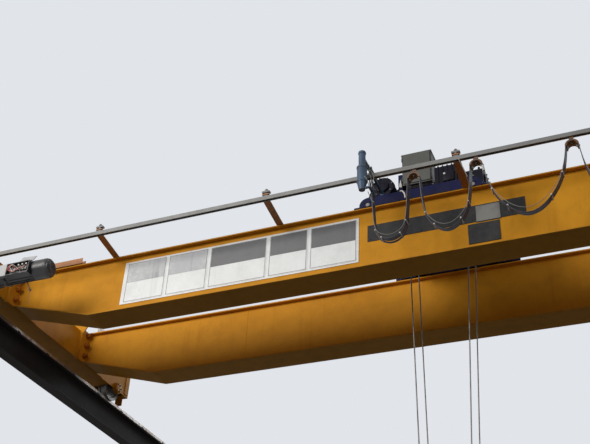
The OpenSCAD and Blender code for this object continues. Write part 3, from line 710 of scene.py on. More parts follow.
def hub_covers():
    """Bolted bearing covers at every bridge wheel but where a travel drive stands."""
    hub, thick = 0.130, 0.012
    bm = bmesh.new()
    places = []
    for x, inner in ENDS:
        for y in (WHEEL.y, -WHEEL.y):
            for way in SIDES:
                if y < 0 and way == inner:
                    continue
                stub(bm, (x + way * hub, y, WHEEL.z), (way, 0, 0), thick, 0.058, 32, 0.003)
                places += ring_places((x + way * (hub + thick), y, WHEEL.z), (way, 0, 0), 0.044, 6)
    piece("hub_covers", bm, "bridge", "girder_paint", smooth=35)
    bolts("hub_bolts", "bridge", 0.016, places)


def carriage_details():
    """Edge strips and access covers on the end carriages."""
    foot, half_width = 0.441, 0.110
    bm = bmesh.new()
    places = []
    for x, way in ENDS:
        inner, outer = x + way * half_width, x - way * half_width
        face = outer - way * 0.006
        for y in (-1.44, 1.44):
            block(bm, (inner, y - 0.03, foot + 0.02),
                  (inner + way * 0.008, y + 0.03, GIRDER_TOP - 0.02), 0.002)
        for y in (-0.9, 0.0, 0.9):
            block(bm, (outer, y - 0.16, 0.52), (face, y + 0.16, 0.69), 0.002)
            places += [((face, y + dy, z), (-way, 0, 0)) for dy in (-0.14, 0.14) for z in (0.54, 0.67)]
    piece("carriage_covers", bm, "bridge", "girder_paint")
    bolts("carriage_cover_bolts", "bridge", 0.014, places)


def rail_clips():
    """Clips that hold the crane rails on the runway beams."""
    step, count, thick = 0.5, 11, 0.012
    top = high("runway_beam_left").z
    bm = bmesh.new()
    places = []
    for x in (0, SPAN):
        for i in range(count):
            y = (i - (count - 1) / 2) * step
            for side in SIDES:
                block(bm, (x + side * 0.026, y - 0.025, top),
                      (x + side * 0.062, y + 0.025, top + thick), 0.002)
                places.append(((x + side * 0.046, y, top + thick), UP))
    piece("rail_clips", bm, "runway", "black_steel")
    bolts("rail_clip_bolts", "runway", 0.018, places)


def trolley_rail_clips():
    """Small weld-on clips beside the trolley rails."""
    margin, count = 0.6, 15
    bm = bmesh.new()
    for y in (-GIRDER_Y, GIRDER_Y):
        for i in range(count):
            x = margin + i * (SPAN - 2 * margin) / (count - 1)
            for side in SIDES:
                block(bm, (x - 0.02, y + side * 0.020, GIRDER_TOP),
                      (x + 0.02, y + side * 0.034, GIRDER_TOP + 0.012), 0.002)
    piece("trolley_rail_clips", bm, "bridge", "rail_steel")


def bracket_bolts():
    """Bolts that hold the cable rail's brackets, and the nuts of the rail clamps."""
    foot = GIRDER_TOP + 0.007
    clamp = high("festoon_rail").z - 0.006
    margin = 1.260
    pitch = (SPAN - 2 * margin) / 4
    small, large = [], []
    for x in [margin + i * pitch for i in range(5)]:
        small += [((x + 0.006, y, foot), UP) for y in (-0.712, -0.752)]
        large += [((x, RAIL_Y, z), UP) for z in (clamp, RAIL_FOOT + 0.062)]
    bolts("bracket_bolts", "bridge", 0.022, small)
    bolts("clamp_nuts", "bridge", 0.030, large)


def frame_line(bm, x0, x1, z0, z1, y, width, depth):
    """A thin raised line round a panel."""
    for low_x, high_x, low_z, high_z in (
        (x0, x1, z0, z0 + width), (x0, x1, z1 - width, z1),
        (x0, x0 + width, z0 + width, z1 - width), (x1 - width, x1, z0 + width, z1 - width),
    ):
        block(bm, (low_x, y - depth, low_z), (high_x, y + 0.0005, high_z), 0.0003)


def face_plate(bm, x0, x1, z0, z1, y):
    """A thin plate on a face that looks to the front."""
    block(bm, (x0, y - 0.0015, z0), (x1, y + 0.0005, z1), 0.0006)


PANEL_SHARES = (0.024, 0.471, 0.908, 1.504, 1.901, 2.364)


def sign_panels():
    """Bare panels of the sign board: thin frame lines and header bands without words."""
    foot, split, roof = 0.256, 0.470, 0.682
    lines, dark, faded = bmesh.new(), bmesh.new(), bmesh.new()
    edges = [low("label_board").x + share for share in PANEL_SHARES]
    for i, (x0, x1) in enumerate(zip(edges, edges[1:])):
        x0, x1 = x0 + 0.016, x1 - 0.024
        face_plate(faded if i < 2 else dark, x0 + 0.006, x1 - 0.006, split, roof - 0.008, BOARD_FACE)
        frame_line(lines, x0, x1, foot + 0.006, roof - 0.002, BOARD_FACE, 0.004, 0.001)
    piece("sign_frame_lines", lines, "bridge", "board", "sign_grey")
    piece("sign_headers", dark, "bridge", "board", "sign_grey")
    piece("sign_headers_faded", faded, "bridge", "board", "sign_faded")


def web_plate_details():
    """The pale plate over the dark strip, and the small fixings of the plates."""
    bm = bmesh.new()
    face_plate(bm, 4.756, 4.958, 0.427, 0.584, low("web_plates").y)
    piece("pale_plate_face", bm, "bridge", "web_plate", "tarnished_plate")
    places = [((x, -0.734, z), TO_FRONT) for x in (3.83, 4.28, 4.72, 5.14) for z in (0.45, 0.58)]
    bolts("web_plate_rivets", "bridge", 0.008, places, "web_plate")


def cowl_grille(name, middle, direction, radii, slot, body):
    """Raised rings on the end of a motor's fan cowl."""
    bm = bmesh.new()
    for radius in radii:
        outline = ((radius - 0.004, 0), (radius - 0.003, 0.004),
                   (radius + 0.003, 0.004), (radius + 0.004, 0))
        loop = [bm.verts.new((r, 0, z)) for r, z in outline]
        edges = [bm.edges.new(pair) for pair in zip(loop, loop[1:])]
        bmesh.ops.spin(bm, geom=loop + edges, cent=(0, 0, 0), axis=UP, angle=math.tau, steps=36,
                       use_merge=True)
    bmesh.ops.transform(bm, matrix=facing(middle, direction), verts=bm.verts)
    piece(name, bm, body, slot, smooth=35)


DRIVE_Z = WHEEL.z - 0.028
BOX_FRONT = WHEEL.y - 0.122
BOX_FLOOR = WHEEL.y - 0.088


def mirrored(side):
    """A function that moves a place given for the left end to the side asked for."""
    return lambda x, y, z: (x if side == "left" else SPAN - x, y, z)


def drive_ends(side):
    """Cowl rings and the flanges' bolts of one travel drive."""
    at = mirrored(side)
    way = 1 if side == "left" else -1
    cowl_end, motor_flange, carriage_flange = 0.903, 0.441, 0.136
    cowl_grille(f"cowl_grille_{side}", at(cowl_end, WHEEL.y, DRIVE_Z), (way, 0, 0),
                (0.024, 0.040, 0.056, 0.070), "drive_paint", "bridge")
    places = ring_places(at(motor_flange, WHEEL.y, DRIVE_Z), (way, 0, 0), 0.093, 8, 0.4)
    places += ring_places(at(carriage_flange, WHEEL.y, WHEEL.z), (-way, 0, 0), 0.080, 6, 0.2)
    bolts(f"drive_bolts_{side}", "bridge", 0.012, places)


def terminal_box(side):
    """Open lid, rim and terminals of one travel drive's box."""
    at = mirrored(side)
    foot, roof = DRIVE_Z - 0.080, DRIVE_Z + 0.046
    bm = bmesh.new()
    block(bm, (-0.083, -0.003, 0.0), (0.083, 0.003, 0.098), 0.002)
    tilt = 0.12 if side == "left" else -0.12
    lean = Matrix.Rotation(math.radians(-24), 4, "X") @ Matrix.Rotation(tilt, 4, "Y")
    hinge = Matrix.Translation(at(0.668, BOX_FRONT + 0.030, roof - 0.002))
    bmesh.ops.transform(bm, matrix=hinge @ lean, verts=bm.verts)
    block(bm, at(0.402, BOX_FRONT + 0.004, DRIVE_Z - 0.075),
          at(0.489, WHEEL.y - 0.075, DRIVE_Z + 0.052), 0.004, 2)
    piece(f"terminal_covers_{side}", bm, "bridge", "drive_paint", "pale_enamel")

    bm = bmesh.new()
    x0, x1 = sorted(at(x, 0, 0)[0] for x in (0.495, 0.743))
    frame_line(bm, x0, x1, foot, roof, BOX_FRONT, 0.007, 0.003)
    for x in (0.575, 0.668, 0.735):
        block(bm, at(x - 0.012, BOX_FRONT + 0.020, roof - 0.002),
              at(x + 0.012, BOX_FRONT + 0.034, roof + 0.012), 0.002)
    piece(f"terminal_rim_{side}", bm, "bridge", "drive_paint")

    bm = bmesh.new()
    for x in [0.540 + i * 0.032 for i in range(6)]:
        block(bm, at(x - 0.010, BOX_FLOOR - 0.018, DRIVE_Z - 0.030),
              at(x + 0.010, BOX_FLOOR + 0.002, DRIVE_Z - 0.006), 0.002)
        stub(bm, at(x, BOX_FLOOR - 0.019, DRIVE_Z - 0.018), TO_FRONT, 0.004, 0.005, 12)
    for x in (0.622, 0.664, 0.706):
        stub(bm, at(x, BOX_FLOOR, DRIVE_Z + 0.018), TO_FRONT, 0.032, 0.009, 16, 0.002)
    piece(f"terminal_blocks_{side}", bm, "bridge", "drive_paint", "wire_white", smooth=35)


def terminal_wires(side):
    """Loose wires that hang out of one travel drive's box."""
    at = mirrored(side)
    for colour, shift in (("red", 0.0), ("white", 0.012)):
        bm = bmesh.new()
        for i in range(3):
            begin = 0.512 + i * 0.014 + shift
            end = 0.735 - i * 0.034 - shift
            sag = DRIVE_Z - 0.048 - i * 0.008
            out = BOX_FRONT - 0.012 - i * 0.006
            knots = [at(begin + 0.050, BOX_FLOOR - 0.012, DRIVE_Z - 0.006),
                     at(begin + 0.026, out + 0.014, DRIVE_Z + 0.034 - i * 0.01),
                     at(begin, out + 0.002, DRIVE_Z - 0.010), at(begin + 0.040, out, sag),
                     at((begin + end) / 2 + 0.01, out - 0.004, sag - 0.006),
                     at(end - 0.02, out, sag + 0.028), at(end - 0.030, BOX_FLOOR - 0.015, DRIVE_Z - 0.010)]
            tube(bm, smooth_path(knots, 6), 0.0026, 8)
        piece(f"terminal_wires_{colour}_{side}", bm, "bridge", "cable", f"wire_{colour}", smooth=60)


def drive_fittings(side):
    """The cable to one travel drive and its brake lever."""
    at = mirrored(side)
    y = WHEEL.y
    cable_radius, lever_end = 0.007, 0.227
    knots = [at(x, y + dy, DRIVE_Z + dz) for x, dy, dz in (
        (0.30, 0.02, -0.09), (0.285, 0.01, -0.15), (0.25, 0, -0.18),
        (0.20, 0.02, -0.16), (0.16, 0.08, -0.03), (0.135, 0.13, 0.02),
    )]
    bm = bmesh.new()
    tube(bm, smooth_path(knots), cable_radius, 12)
    piece(f"drive_cable_{side}", bm, "bridge", "cable", "wire_black", smooth=60)
    bm = bmesh.new()
    rod(bm, at(0.652, y, DRIVE_Z - 0.082), at(0.721, y, lever_end), 0.0045, segments=12)
    rod(bm, at(0.716, y, 0.238), at(0.726, y, 0.218), 0.010, segments=16, bevel=0.003)
    rod(bm, at(0.722, y, 0.222), at(0.731, y, 0.078), 0.0018, segments=8)
    piece(f"brake_lever_{side}", bm, "bridge", "drive_paint", smooth=35)


# Cables and ropes

LOOP_SAGS = (0.537, 0.573, 0.562, 0.558, 0.564, 0.561, 0.567, 0.575)
LOOP_ROUNDNESS = (0.22, 0.42, 0.72, 0.55, 0.58, 0.54, 0.57, 0.45)
LOOP_LEANS = (-0.2, 1, 0.8, -1, 1, -0.6, 1, -1)
LEAN_DROP = 0.011
FLAT_CABLE = (0.0034, 0.0078)
CABLE_PITCH = 0.026
TIE_SHARES = (0.20, 0.34, 0.68, 0.82)
SADDLE_TOP = RAIL_FOOT - 0.105
CABLE_SIDE = 0.0505
TOW_CLAMP = (3.978, 0.626)
FIXED_CLAMP = (9.270, RAIL_FOOT - 0.0612)
CARRIERS = range(1, 8)


def loop_points(i, start, end, slack):
    """Loop i between its ends: a round foot, then sides that rise almost straight to their own
    ends. Slack is how far it hangs above the solid cable."""
    (x0, z0), (x1, z1) = start[:2], end[:2]
    foot = (z0 + z1) / 2 - (LOOP_SAGS[i] - slack)
    round_share = LOOP_ROUNDNESS[i]
    steps = 56
    made = []
    for step in range(steps + 1):
        t = 0.5 - 0.5 * math.cos(math.pi * step / steps)
        s = abs(2 * t - 1)
        rise = (z0 if t < 0.5 else z1) - foot
        made.append((x0 + (x1 - x0) * t,
                     foot + rise * (round_share * s ** 2 + (1 - round_share) * s ** 12)))
    return made


def strap(bm, line, share):
    """A tie round the cables, where a share of the loop's line is reached."""
    i = round(share * (len(line) - 1))
    (xa, za), (xb, zb) = line[i - 1], line[i + 1]
    turn = Vector((xb - xa, 0, zb - za)).to_track_quat("Z", "X").to_matrix().to_4x4()
    before = len(bm.verts)
    block(bm, (-0.0065, -0.042, -0.005), (0.0065, 0.042, 0.005), 0.001)
    move_new(bm, before, Matrix.Translation((line[i][0], RAIL_Y, line[i][1])) @ turn)


def festoon_loops():
    """Flat cables, three side by side, with a thin cord and straps, in a loop between carriers.
    An end is its place along the span, its height and the share of the trolley's travel it makes."""
    saddles = [(centre(f"cable_carrier_{i}").x, RATIOS[f"carrier_{i}_slide"]) for i in CARRIERS]
    starts = [(*TOW_CLAMP, 1.0)] + [(x + CABLE_SIDE, SADDLE_TOP, r) for x, r in saddles]
    ends = [(x - CABLE_SIDE, SADDLE_TOP, r) for x, r in saddles] + [(*FIXED_CLAMP, 0.0)]
    front = RAIL_Y - 0.047
    for i, (start, end) in enumerate(zip(starts, ends)):
        spread = LEAN_DROP * LOOP_LEANS[i]
        cables, cords, straps = bmesh.new(), bmesh.new(), bmesh.new()
        for shift, slack in ((-CABLE_PITCH, LEAN_DROP - spread), (0.0, 0.015),
                             (CABLE_PITCH, LEAN_DROP + spread)):
            before = len(cables.verts)
            line = loop_points(i, start, end, slack)
            tube(cables, [(x, z, 0) for x, z in line], FLAT_CABLE[0], 8, FLAT_CABLE[1])
            turn = Matrix.Rotation(math.pi / 2, 4, "X")
            move_new(cables, before, Matrix.Translation((0, RAIL_Y + shift, 0)) @ turn)
        line = loop_points(i, start, end, 0.045)
        tube(cords, [(x, RAIL_Y - 0.041, z) for x, z in line], 0.0022, 8)
        middle = loop_points(i, start, end, 0.010)
        for share in TIE_SHARES:
            strap(straps, middle, share)
        if i == 0:
            tail = [(4.226, front, 0.577), (4.246, front, 0.574), (4.263, front, 0.545),
                    (4.270, front, 0.500)]
            tube(straps, smooth_path(tail), 0.0065, 10)
        if i == 1:
            pull = [(4.730, front, 0.789), (4.758, front, 0.699), (4.793, front, 0.587)]
            tube(cords, smooth_path(pull), 0.0035, 8)
        if i == 2:
            (xa, za), (xb, zb) = middle[3], middle[5]
            rod(straps, (xa, front, za), (xb, front, zb), 0.010, bevel=0.002)
        for name, bm, finish in (("loop", cables, None), ("cord", cords, "wire_pale"),
                                 ("straps", straps, "wire_white")):
            part = piece(f"festoon_{name}_{i + 1}", bm, None, "cable", finish, smooth=50)
            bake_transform(part)
            if name == "loop":
                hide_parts("festoon_cable")


def carrier_details():
    """Cable clamps, bolts and stops on the carriers."""
    half = (high("cable_carrier_1").y - low("cable_carrier_1").y) / 2
    z = SADDLE_TOP
    for i in CARRIERS:
        x = centre(f"cable_carrier_{i}").x
        bm = bmesh.new()
        block(bm, (x - 0.018, RAIL_Y - half, z + 0.0555), (x + 0.018, RAIL_Y + half, z + 0.0615), 0.0015)
        for side in SIDES:
            stub(bm, (x, RAIL_Y + side * 0.004, z + 0.032), (0, side, 0), 0.010, 0.008, 6, 0.001)
            stub(bm, (x + side * 0.030, RAIL_Y, z + 0.005), (side, 0, 0), 0.028, 0.010, 16, 0.003)
        piece(f"carrier_fittings_{i}", bm, f"carrier_{i}", "wheel_steel", smooth=35)


def rope_strand(name, top, foot, node, diameter):
    """A stranded rope between two points, screwed out of a six-lobed outline."""
    top, foot = Vector(top), Vector(foot)
    length = (top - foot).length
    lobes, groove, segments, steps_a_turn = 6, 0.13, 24, 8
    bm = bmesh.new()
    outline = bmesh.ops.create_circle(bm, segments=segments, radius=diameter / 2)["verts"]
    for i, v in enumerate(outline):
        v.co *= 1 - groove * (0.5 - 0.5 * math.cos(math.tau * lobes * i / segments))
    turns = length / settings().rope_lay
    steps = int(turns * steps_a_turn)
    bmesh.ops.spin(bm, geom=outline + edges_of(outline), cent=(0, 0, 0), axis=UP,
                   dvec=(0, 0, length / steps), angle=math.tau * turns, steps=steps, use_duplicate=False)
    bmesh.ops.holes_fill(bm, edges=[e for e in bm.edges if e.is_boundary], sides=segments)
    bmesh.ops.transform(bm, matrix=facing(foot, top - foot), verts=bm.verts)
    rope = piece(name, bm, "trolley", "rope_steel", smooth=50)
    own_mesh(rope)
    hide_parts(node)


def ropes():
    """Four falls from the drum and the anchor down to the sheaves."""
    for place in ("front", "rear"):
        node = f"rope_falls_{place}"
        lowest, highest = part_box(node)
        y = (lowest.y + highest.y) / 2
        half = (highest.y - lowest.y) / 2
        share = (DRUM.z - highest.z) / (DRUM.z - lowest.z)
        for label, top_x, foot_x in (("left", 4.000, 4.048), ("right", 4.566, 4.448)):
            x = top_x + (foot_x - top_x) * share
            rope_strand(f"rope_{place}_{label}", (x, y, highest.z), (foot_x, y, lowest.z), node, half * 2)


# Pieces of the trolley

def gearbox_details():
    """Bolts, plugs, breather and cover plates of the hoist gearbox."""
    lowest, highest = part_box("hoist_gearbox")
    tall_x, x1 = lowest.x, highest.x - 0.014
    x0 = x1 - 0.194
    foot, shoulder = HOIST_FOOT, HOIST_FOOT + 0.179
    bm = bmesh.new()
    block(bm, (x0 + 0.022, -0.470, shoulder - 0.002), (x0 + 0.080, -0.370, shoulder + 0.010), 0.003, 2)
    rod(bm, (x1 - 0.040, -0.500, shoulder - 0.002), (x1 - 0.040, -0.500, shoulder + 0.050), 0.014, 0.010,
        16, 0.003)
    stub(bm, (x0 + 0.050, -0.561, foot + 0.060), TO_FRONT, 0.011, 0.026, 24, 0.003)
    block(bm, (tall_x + 0.080, MOTOR_Y - 0.132, foot + 0.110),
          (tall_x + 0.180, MOTOR_Y - 0.116, foot + 0.210), 0.004, 2)
    piece("gearbox_fittings", bm, "trolley", "hoist_paint", smooth=35)

    places = []
    for x, y, z, radius, count in (
        (0.014, 0, DRUM.z, 0.080, 8), (0.012, MOTOR_Y, MOTOR_Z, 0.062, 6),
        (0.010, -0.215, MOTOR_Z - 0.008, 0.044, 6),
    ):
        places += ring_places((x1 + x, y, z), (1, 0, 0), radius, count)
    rim = [(y, shoulder + 0.001) for y in (-0.52, -0.46, -0.40)]
    rim += [(-0.562, foot + dz) for dz in (0.05, 0.10, 0.15)]
    for turn in map(math.radians, (20, 50, 80, 110)):
        rim.append((0.127 * math.cos(turn), DRUM.z + 0.127 * math.sin(turn)))
    places += [((x0 + 0.106, y, z), (1, 0, 0)) for y, z in rim]
    bolts("gearbox_bolts", "trolley", 0.014, places)

    bm = bmesh.new()
    stub(bm, (tall_x + 0.095, MOTOR_Y - 0.120, foot + 0.186), TO_FRONT, 0.020, 0.011, 20, 0.003)
    piece("gearbox_plugs", bm, "trolley", "hoist_paint", "wire_white", smooth=35)


def motor_details():
    """Cowl rings, flange bolts and covers of the hoist motor and the trolley drive."""
    cowl_grille("hoist_cowl_grille", (low("hoist_motor").x, MOTOR_Y, MOTOR_Z), (-1, 0, 0),
                (0.020, 0.035, 0.050, 0.065), "hoist_paint", "trolley")
    flange = low("hoist_gearbox").x - 0.020
    places = ring_places((flange, MOTOR_Y, MOTOR_Z), (-1, 0, 0), 0.093, 8, 0.3)
    lowest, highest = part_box("trolley_drive")
    x, z = centre("trolley_wheel_left_front").x + 0.095, HOIST_FOOT + 0.178
    cowl_grille("trolley_cowl_grille", (x, highest.y, z), (0, 1, 0), (0.022, 0.040, 0.058, 0.075),
                "hoist_paint", "trolley")
    places += ring_places((x, lowest.y, z), TO_FRONT, 0.096, 8, 0.2)
    bolts("motor_bolts", "trolley", 0.012, places)
    bm = bmesh.new()
    inside = lowest.y + 0.002
    stub(bm, (x, inside, z), TO_FRONT, 0.012, 0.060, 32, 0.003)
    stub(bm, (x - 0.078, inside, z - 0.105), TO_FRONT, 0.010, 0.030, 28, 0.003)
    piece("trolley_drive_covers", bm, "trolley", "hoist_paint", smooth=35)


def cabinet_details():
    """Hinges, latch and roof lip of the control box, and a switch and a white triangle under it, which is
    a painted highlight.
    """
    lowest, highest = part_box("control_box")
    x0, x1, y0 = lowest.x, highest.x, lowest.y
    door = 0.352
    z0, z1 = highest.z - door, highest.z
    middle = (z0 + z1) / 2
    bm = bmesh.new()
    for z in (z0 + 0.06, z1 - 0.06):
        stub(bm, (x0 + 0.006, y0 + 0.001, z - 0.022), UP, 0.044, 0.007, 14, 0.002)
    stub(bm, (x1 - 0.035, y0 + 0.001, middle), TO_FRONT, 0.013, 0.014, 20, 0.002)
    block(bm, (x1 - 0.038, y0 - 0.020, middle - 0.022), (x1 - 0.032, y0 - 0.011, middle + 0.022), 0.001)
    piece("cabinet_fittings", bm, "trolley", "box_paint", smooth=35)
    bm = bmesh.new()
    block(bm, (x0 - 0.004, y0 + 0.004, z1 - 0.012), (x1 + 0.004, highest.y + 0.003, z1 + 0.004), 0.002)
    piece("cabinet_roof", bm, "trolley", "box_paint")
    bm = bmesh.new()
    rod(bm, (x0 - 0.033, y0 + 0.06, z0 + 0.012), (x0 - 0.057, y0 + 0.06, z0 - 0.010), 0.012,
        segments=16, bevel=0.003)
    # A white triangle beside the box: a painted highlight, not a part.
    corners = ((x0 - 0.034, z0 - 0.010), (x0 - 0.002, z0 - 0.016), (x0 - 0.014, z0 + 0.075))
    sheet = bm.faces.new([bm.verts.new((x, y0 + 0.0095, z)) for x, z in corners])
    grown = bmesh.ops.extrude_face_region(bm, geom=[sheet], use_keep_orig=True)["geom"]
    bmesh.ops.translate(bm, vec=(0, -0.004, 0),
                        verts=[v for v in grown if isinstance(v, bmesh.types.BMVert)])
    piece("side_switches", bm, "trolley", "trolley_paint", "wire_white", smooth=35)


def cable_bundle(name, x, routes, radius, sides, steps, finish):
    """Loose cables of the trolley. The knots' first number is the distance from x."""
    bm = bmesh.new()
    for knots in routes:
        tube(bm, smooth_path([(x + dx, y, z) for dx, y, z in knots], steps), radius, sides)
    piece(name, bm, "trolley", "cable", finish, smooth=60)


def trolley_cables():
    """Cables from the tow arm and the control box to the motors."""
    lowest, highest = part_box("control_box")
    y, z = -0.343, highest.z - 0.368
    deck = high("hoist_motor").z - 0.192
    arm_top = 1.006 + 0.007
    to_motor = [(0.195, y, z), (0.196, y + 0.018, z - 0.05), (0.20, y + 0.024, z - 0.13),
                (0.24, y + 0.02, deck + 0.03), (0.30, y - 0.02, deck + 0.02)]
    to_drive = [(0.150, y, z), (0.14, y + 0.02, z - 0.06), (0.05, y + 0.03, z - 0.10),
                (-0.04, y + 0.02, z - 0.06), (-0.10, y + 0.005, z + 0.04),
                (-0.15, y - 0.03, z + 0.08), (-0.15, y - 0.06, z + 0.06)]
    to_arm = [(0.06, y, z), (0.05, y + 0.02, z - 0.07), (-0.02, y + 0.01, deck + 0.05),
              (-0.08, -0.42, deck + 0.016), (-0.14, -0.52, deck + 0.012),
              (-0.152, -0.60, arm_top - 0.02), (-0.144, -0.70, arm_top), (-0.143, -1.00, arm_top),
              (-0.130, -1.045, arm_top - 0.012), (-0.120, -1.060, 0.90),
              (-0.114, -1.060, 0.78), (-0.098, -1.075, 0.69), (-0.085, -1.100, 0.660)]
    beside = [(0.105, y, z), (0.09, y + 0.02, z - 0.08), (-0.01, y + 0.005, deck + 0.04),
              (-0.07, -0.43, deck + 0.014), (-0.125, -0.53, deck + 0.012),
              (-0.134, -0.60, arm_top - 0.02), (-0.132, -0.70, arm_top),
              (-0.128, -0.97, arm_top), (-0.116, -1.020, arm_top - 0.014),
              (-0.106, -1.035, 0.90), (-0.100, -1.040, 0.78),
              (-0.088, -1.060, 0.70), (-0.075, -1.095, 0.660)]
    cable_bundle("trolley_cables", lowest.x, (to_motor, to_drive, to_arm, beside), 0.0065, 12, 8,
                 "wire_black")
    tangle = ([(0, POST_Y, 0.80), (0.022, POST_Y + 0.01, 0.785), (0.030, POST_Y + 0.03, 0.74),
               (0.020, POST_Y + 0.05, 0.70), (0.028, POST_Y + 0.07, 0.662)],
              [(0, POST_Y, 0.83), (0.034, POST_Y + 0.01, 0.820), (0.052, POST_Y + 0.03, 0.76),
               (0.036, POST_Y + 0.05, 0.69), (0.050, POST_Y + 0.08, 0.662)],
              [(-0.010, POST_Y - 0.036, 0.745), (0.012, POST_Y - 0.030, 0.71),
               (0.016, POST_Y + 0.01, 0.665), (0.012, POST_Y + 0.05, 0.655)],
              [(-0.006, RAIL_Y - 0.05, 0.640), (0.012, RAIL_Y - 0.05, 0.585),
               (0.026, RAIL_Y - 0.05, 0.545), (0.048, RAIL_Y - 0.05, 0.515)])
    cable_bundle("post_wires", POST_X + 0.043, tangle, 0.0028, 8, 6, "wire_pale")


def arm_details():
    """Collars, clamp screws and end cap of the telescopic post."""
    top = high("tow_arm").z
    bm = bmesh.new()
    for z, r in ((0.716, 0.047), (0.862, 0.047), (1.022, 0.034)):
        stub(bm, (POST_X, POST_Y, z - 0.009), UP, 0.018, r, 32, 0.003)
    rod(bm, (POST_X, POST_Y, top - 0.001), (POST_X, POST_Y, top + 0.004), 0.026, 0.020, 24)
    piece("post_collars", bm, "trolley", "post_paint", smooth=35)
    bolts("post_bolts", "trolley", 0.008, ring_places((POST_X, POST_Y, 0.871), UP, 0.0385, 4, 0.5))


def hook_details():
    """Axle keepers and bolts of the hook block."""
    x = centre("hook_block").x
    axle_z, head_z = -1.685, -1.955
    bm = bmesh.new()
    places = []
    for side in SIDES:
        cheek = side * 0.177
        face = cheek + side * 0.008
        for z in (axle_z, head_z):
            block(bm, (x - 0.055, cheek, z + 0.032), (x + 0.055, face, z + 0.056), 0.002)
            places += [((x + dx, face, z + 0.044), (0, side, 0)) for dx in (-0.04, 0.04)]
    piece("axle_keepers", bm, "hook_block", "wheel_steel")
    bolts("hook_block_bolts", "hook_block", 0.016, places)


def hook_latch():
    """The sheet tongue that closes the throat of the hook, with ears and a pin through the neck."""
    x, eye_z = centre("hook_block").x, low("hook").z + 0.108
    open_angle, tip_share = math.radians(46), 0.42
    bm = bmesh.new()
    rod(bm, (0, -0.038, 0), (0, 0.038, 0), 0.005, bevel=0.001)
    for y in (-0.035, 0.035):
        rod(bm, (0, y - 0.0015, 0), (0, y + 0.0015, 0), 0.014, segments=28, bevel=0.0006)
        block(bm, (-0.009, y - 0.0012, -0.030), (0.0, y + 0.0012, 0.004))
    tongue = block(bm, (-0.0015, -0.036, -0.060), (0.0015, 0.036, 0.0))
    bmesh.ops.scale(bm, vec=(1, tip_share, 1), verts=[v for v in tongue if v.co.z < -0.05])
    place = Matrix.Translation((x - 0.018, 0, eye_z + 0.084))
    bmesh.ops.transform(bm, matrix=place @ Matrix.Rotation(open_angle, 4, "Y"), verts=bm.verts)
    piece("hook_latch", bm, "hook", "wheel_steel", smooth=35)


# Stage

def stage_material(name, seen, glow, lit):
    """A plain matt surface: one tone as the camera and reflections see it, one as light bounces.
    A glow keeps it pale away from the lamps, and it still shows the crane's shadow.
    It is clear from below, so that the crane can be looked at from under the floor."""
    material = bpy.data.materials.new(name)
    material.use_nodes = True
    tree = material.node_tree
    tree.nodes.clear()

    def joined(kind, *sources):
        """A shader that adds or mixes others."""
        node = tree.nodes.new(kind)
        for source, socket in zip(sources, node.inputs):
            wire(tree, source, socket)
        return node.outputs[0]

    out = tree.nodes.new("ShaderNodeOutputMaterial")
    pale = add_node(tree, "BsdfDiffuse", Color=(seen, seen, seen * 0.985, 1)).outputs[0]
    glowing = joined("ShaderNodeAddShader", pale, add_node(tree, "Emission", Strength=glow).outputs[0])
    dim = add_node(tree, "BsdfDiffuse", Color=(lit, lit * 0.97, lit * 0.93, 1)).outputs[0]
    mixed = joined("ShaderNodeMixShader", seen_ray(tree), dim, glowing)
    clear = tree.nodes.new("ShaderNodeBsdfTransparent").outputs[0]
    below = tree.nodes.new("ShaderNodeNewGeometry").outputs["Backfacing"]
    wire(tree, joined("ShaderNodeMixShader", below, mixed, clear), out.inputs["Surface"])
    return material


def seen_ray(tree):
    """1 for rays of the camera, and for what is seen in a mirror or through glass."""
    rays = tree.nodes.new("ShaderNodeLightPath").outputs
    either = math_node(tree, "MAXIMUM", rays["Is Camera Ray"], rays["Is Glossy Ray"])
    return math_node(tree, "MAXIMUM", either, rays["Is Transmission Ray"])


def make_floor():
    """A large plain floor, a man's height below the camera."""
    size, eye_height = 60.0, 1.7
    bm = bmesh.new()
    bmesh.ops.create_grid(bm, x_segments=1, y_segments=1, size=size)
    bmesh.ops.translate(bm, vec=(MID, 0, settings().camera_place[2] - eye_height), verts=bm.verts)
    mesh = mesh_from("floor", bm)
    floor = put("floor", mesh)
    mesh.materials.append(stage_material("Plain floor", 0.42, 0.44, 0.08))


def make_world():
    """A pale surround for the camera and reflections, and a dimmer one for light."""
    world = bpy.data.worlds.new("Studio")
    world.use_nodes = True
    tree = world.node_tree
    shade = tree.nodes["Background"]
    shade.inputs["Color"].default_value = (0.92, 0.95, 1.0, 1)
    way = tree.nodes.new("ShaderNodeTexCoord").outputs["Generated"]
    height = ramp(tree, add_node(tree, "SeparateXYZ", Vector=way).outputs["Z"], -0.2, 0.6)
    sky = math_node(tree, "ADD", product(tree, height, 0.18), 0.05)
    wire(tree, mix_node(tree, "FLOAT", seen_ray(tree), sky, 0.82), shade.inputs["Strength"])
    bpy.context.scene.world = world


def lamp(name, place, target, size, power, colour):
    light = bpy.data.lights.new(name, "AREA")
    light.shape = "RECTANGLE"
    light.size, light.size_y = size
    light.energy = power
    light.color = colour
    obj = put(name, light)
    obj.location = place
    obj.rotation_euler = (Vector(target) - Vector(place)).to_track_quat("-Z", "Y").to_euler()


def make_camera():
    """The camera stands where the photograph was taken, and looks up at the crane."""
    chosen = settings()
    heading, pitch, roll = chosen.camera_turn
    forward = Vector((math.sin(heading) * math.cos(pitch), math.cos(heading) * math.cos(pitch),
                      math.sin(pitch)))
    data = bpy.data.cameras.new("Camera")
    data.sensor_width = 36
    data.lens = chosen.camera_lens
    data.clip_end = 200
    camera = put("Camera", data)
    turn = forward.to_track_quat("-Z", "Y").to_matrix().to_4x4() @ Matrix.Rotation(roll, 4, "Z")
    camera.matrix_world = Matrix.Translation(Vector(chosen.camera_place)) @ turn
    bpy.context.scene.camera = camera


# Operators

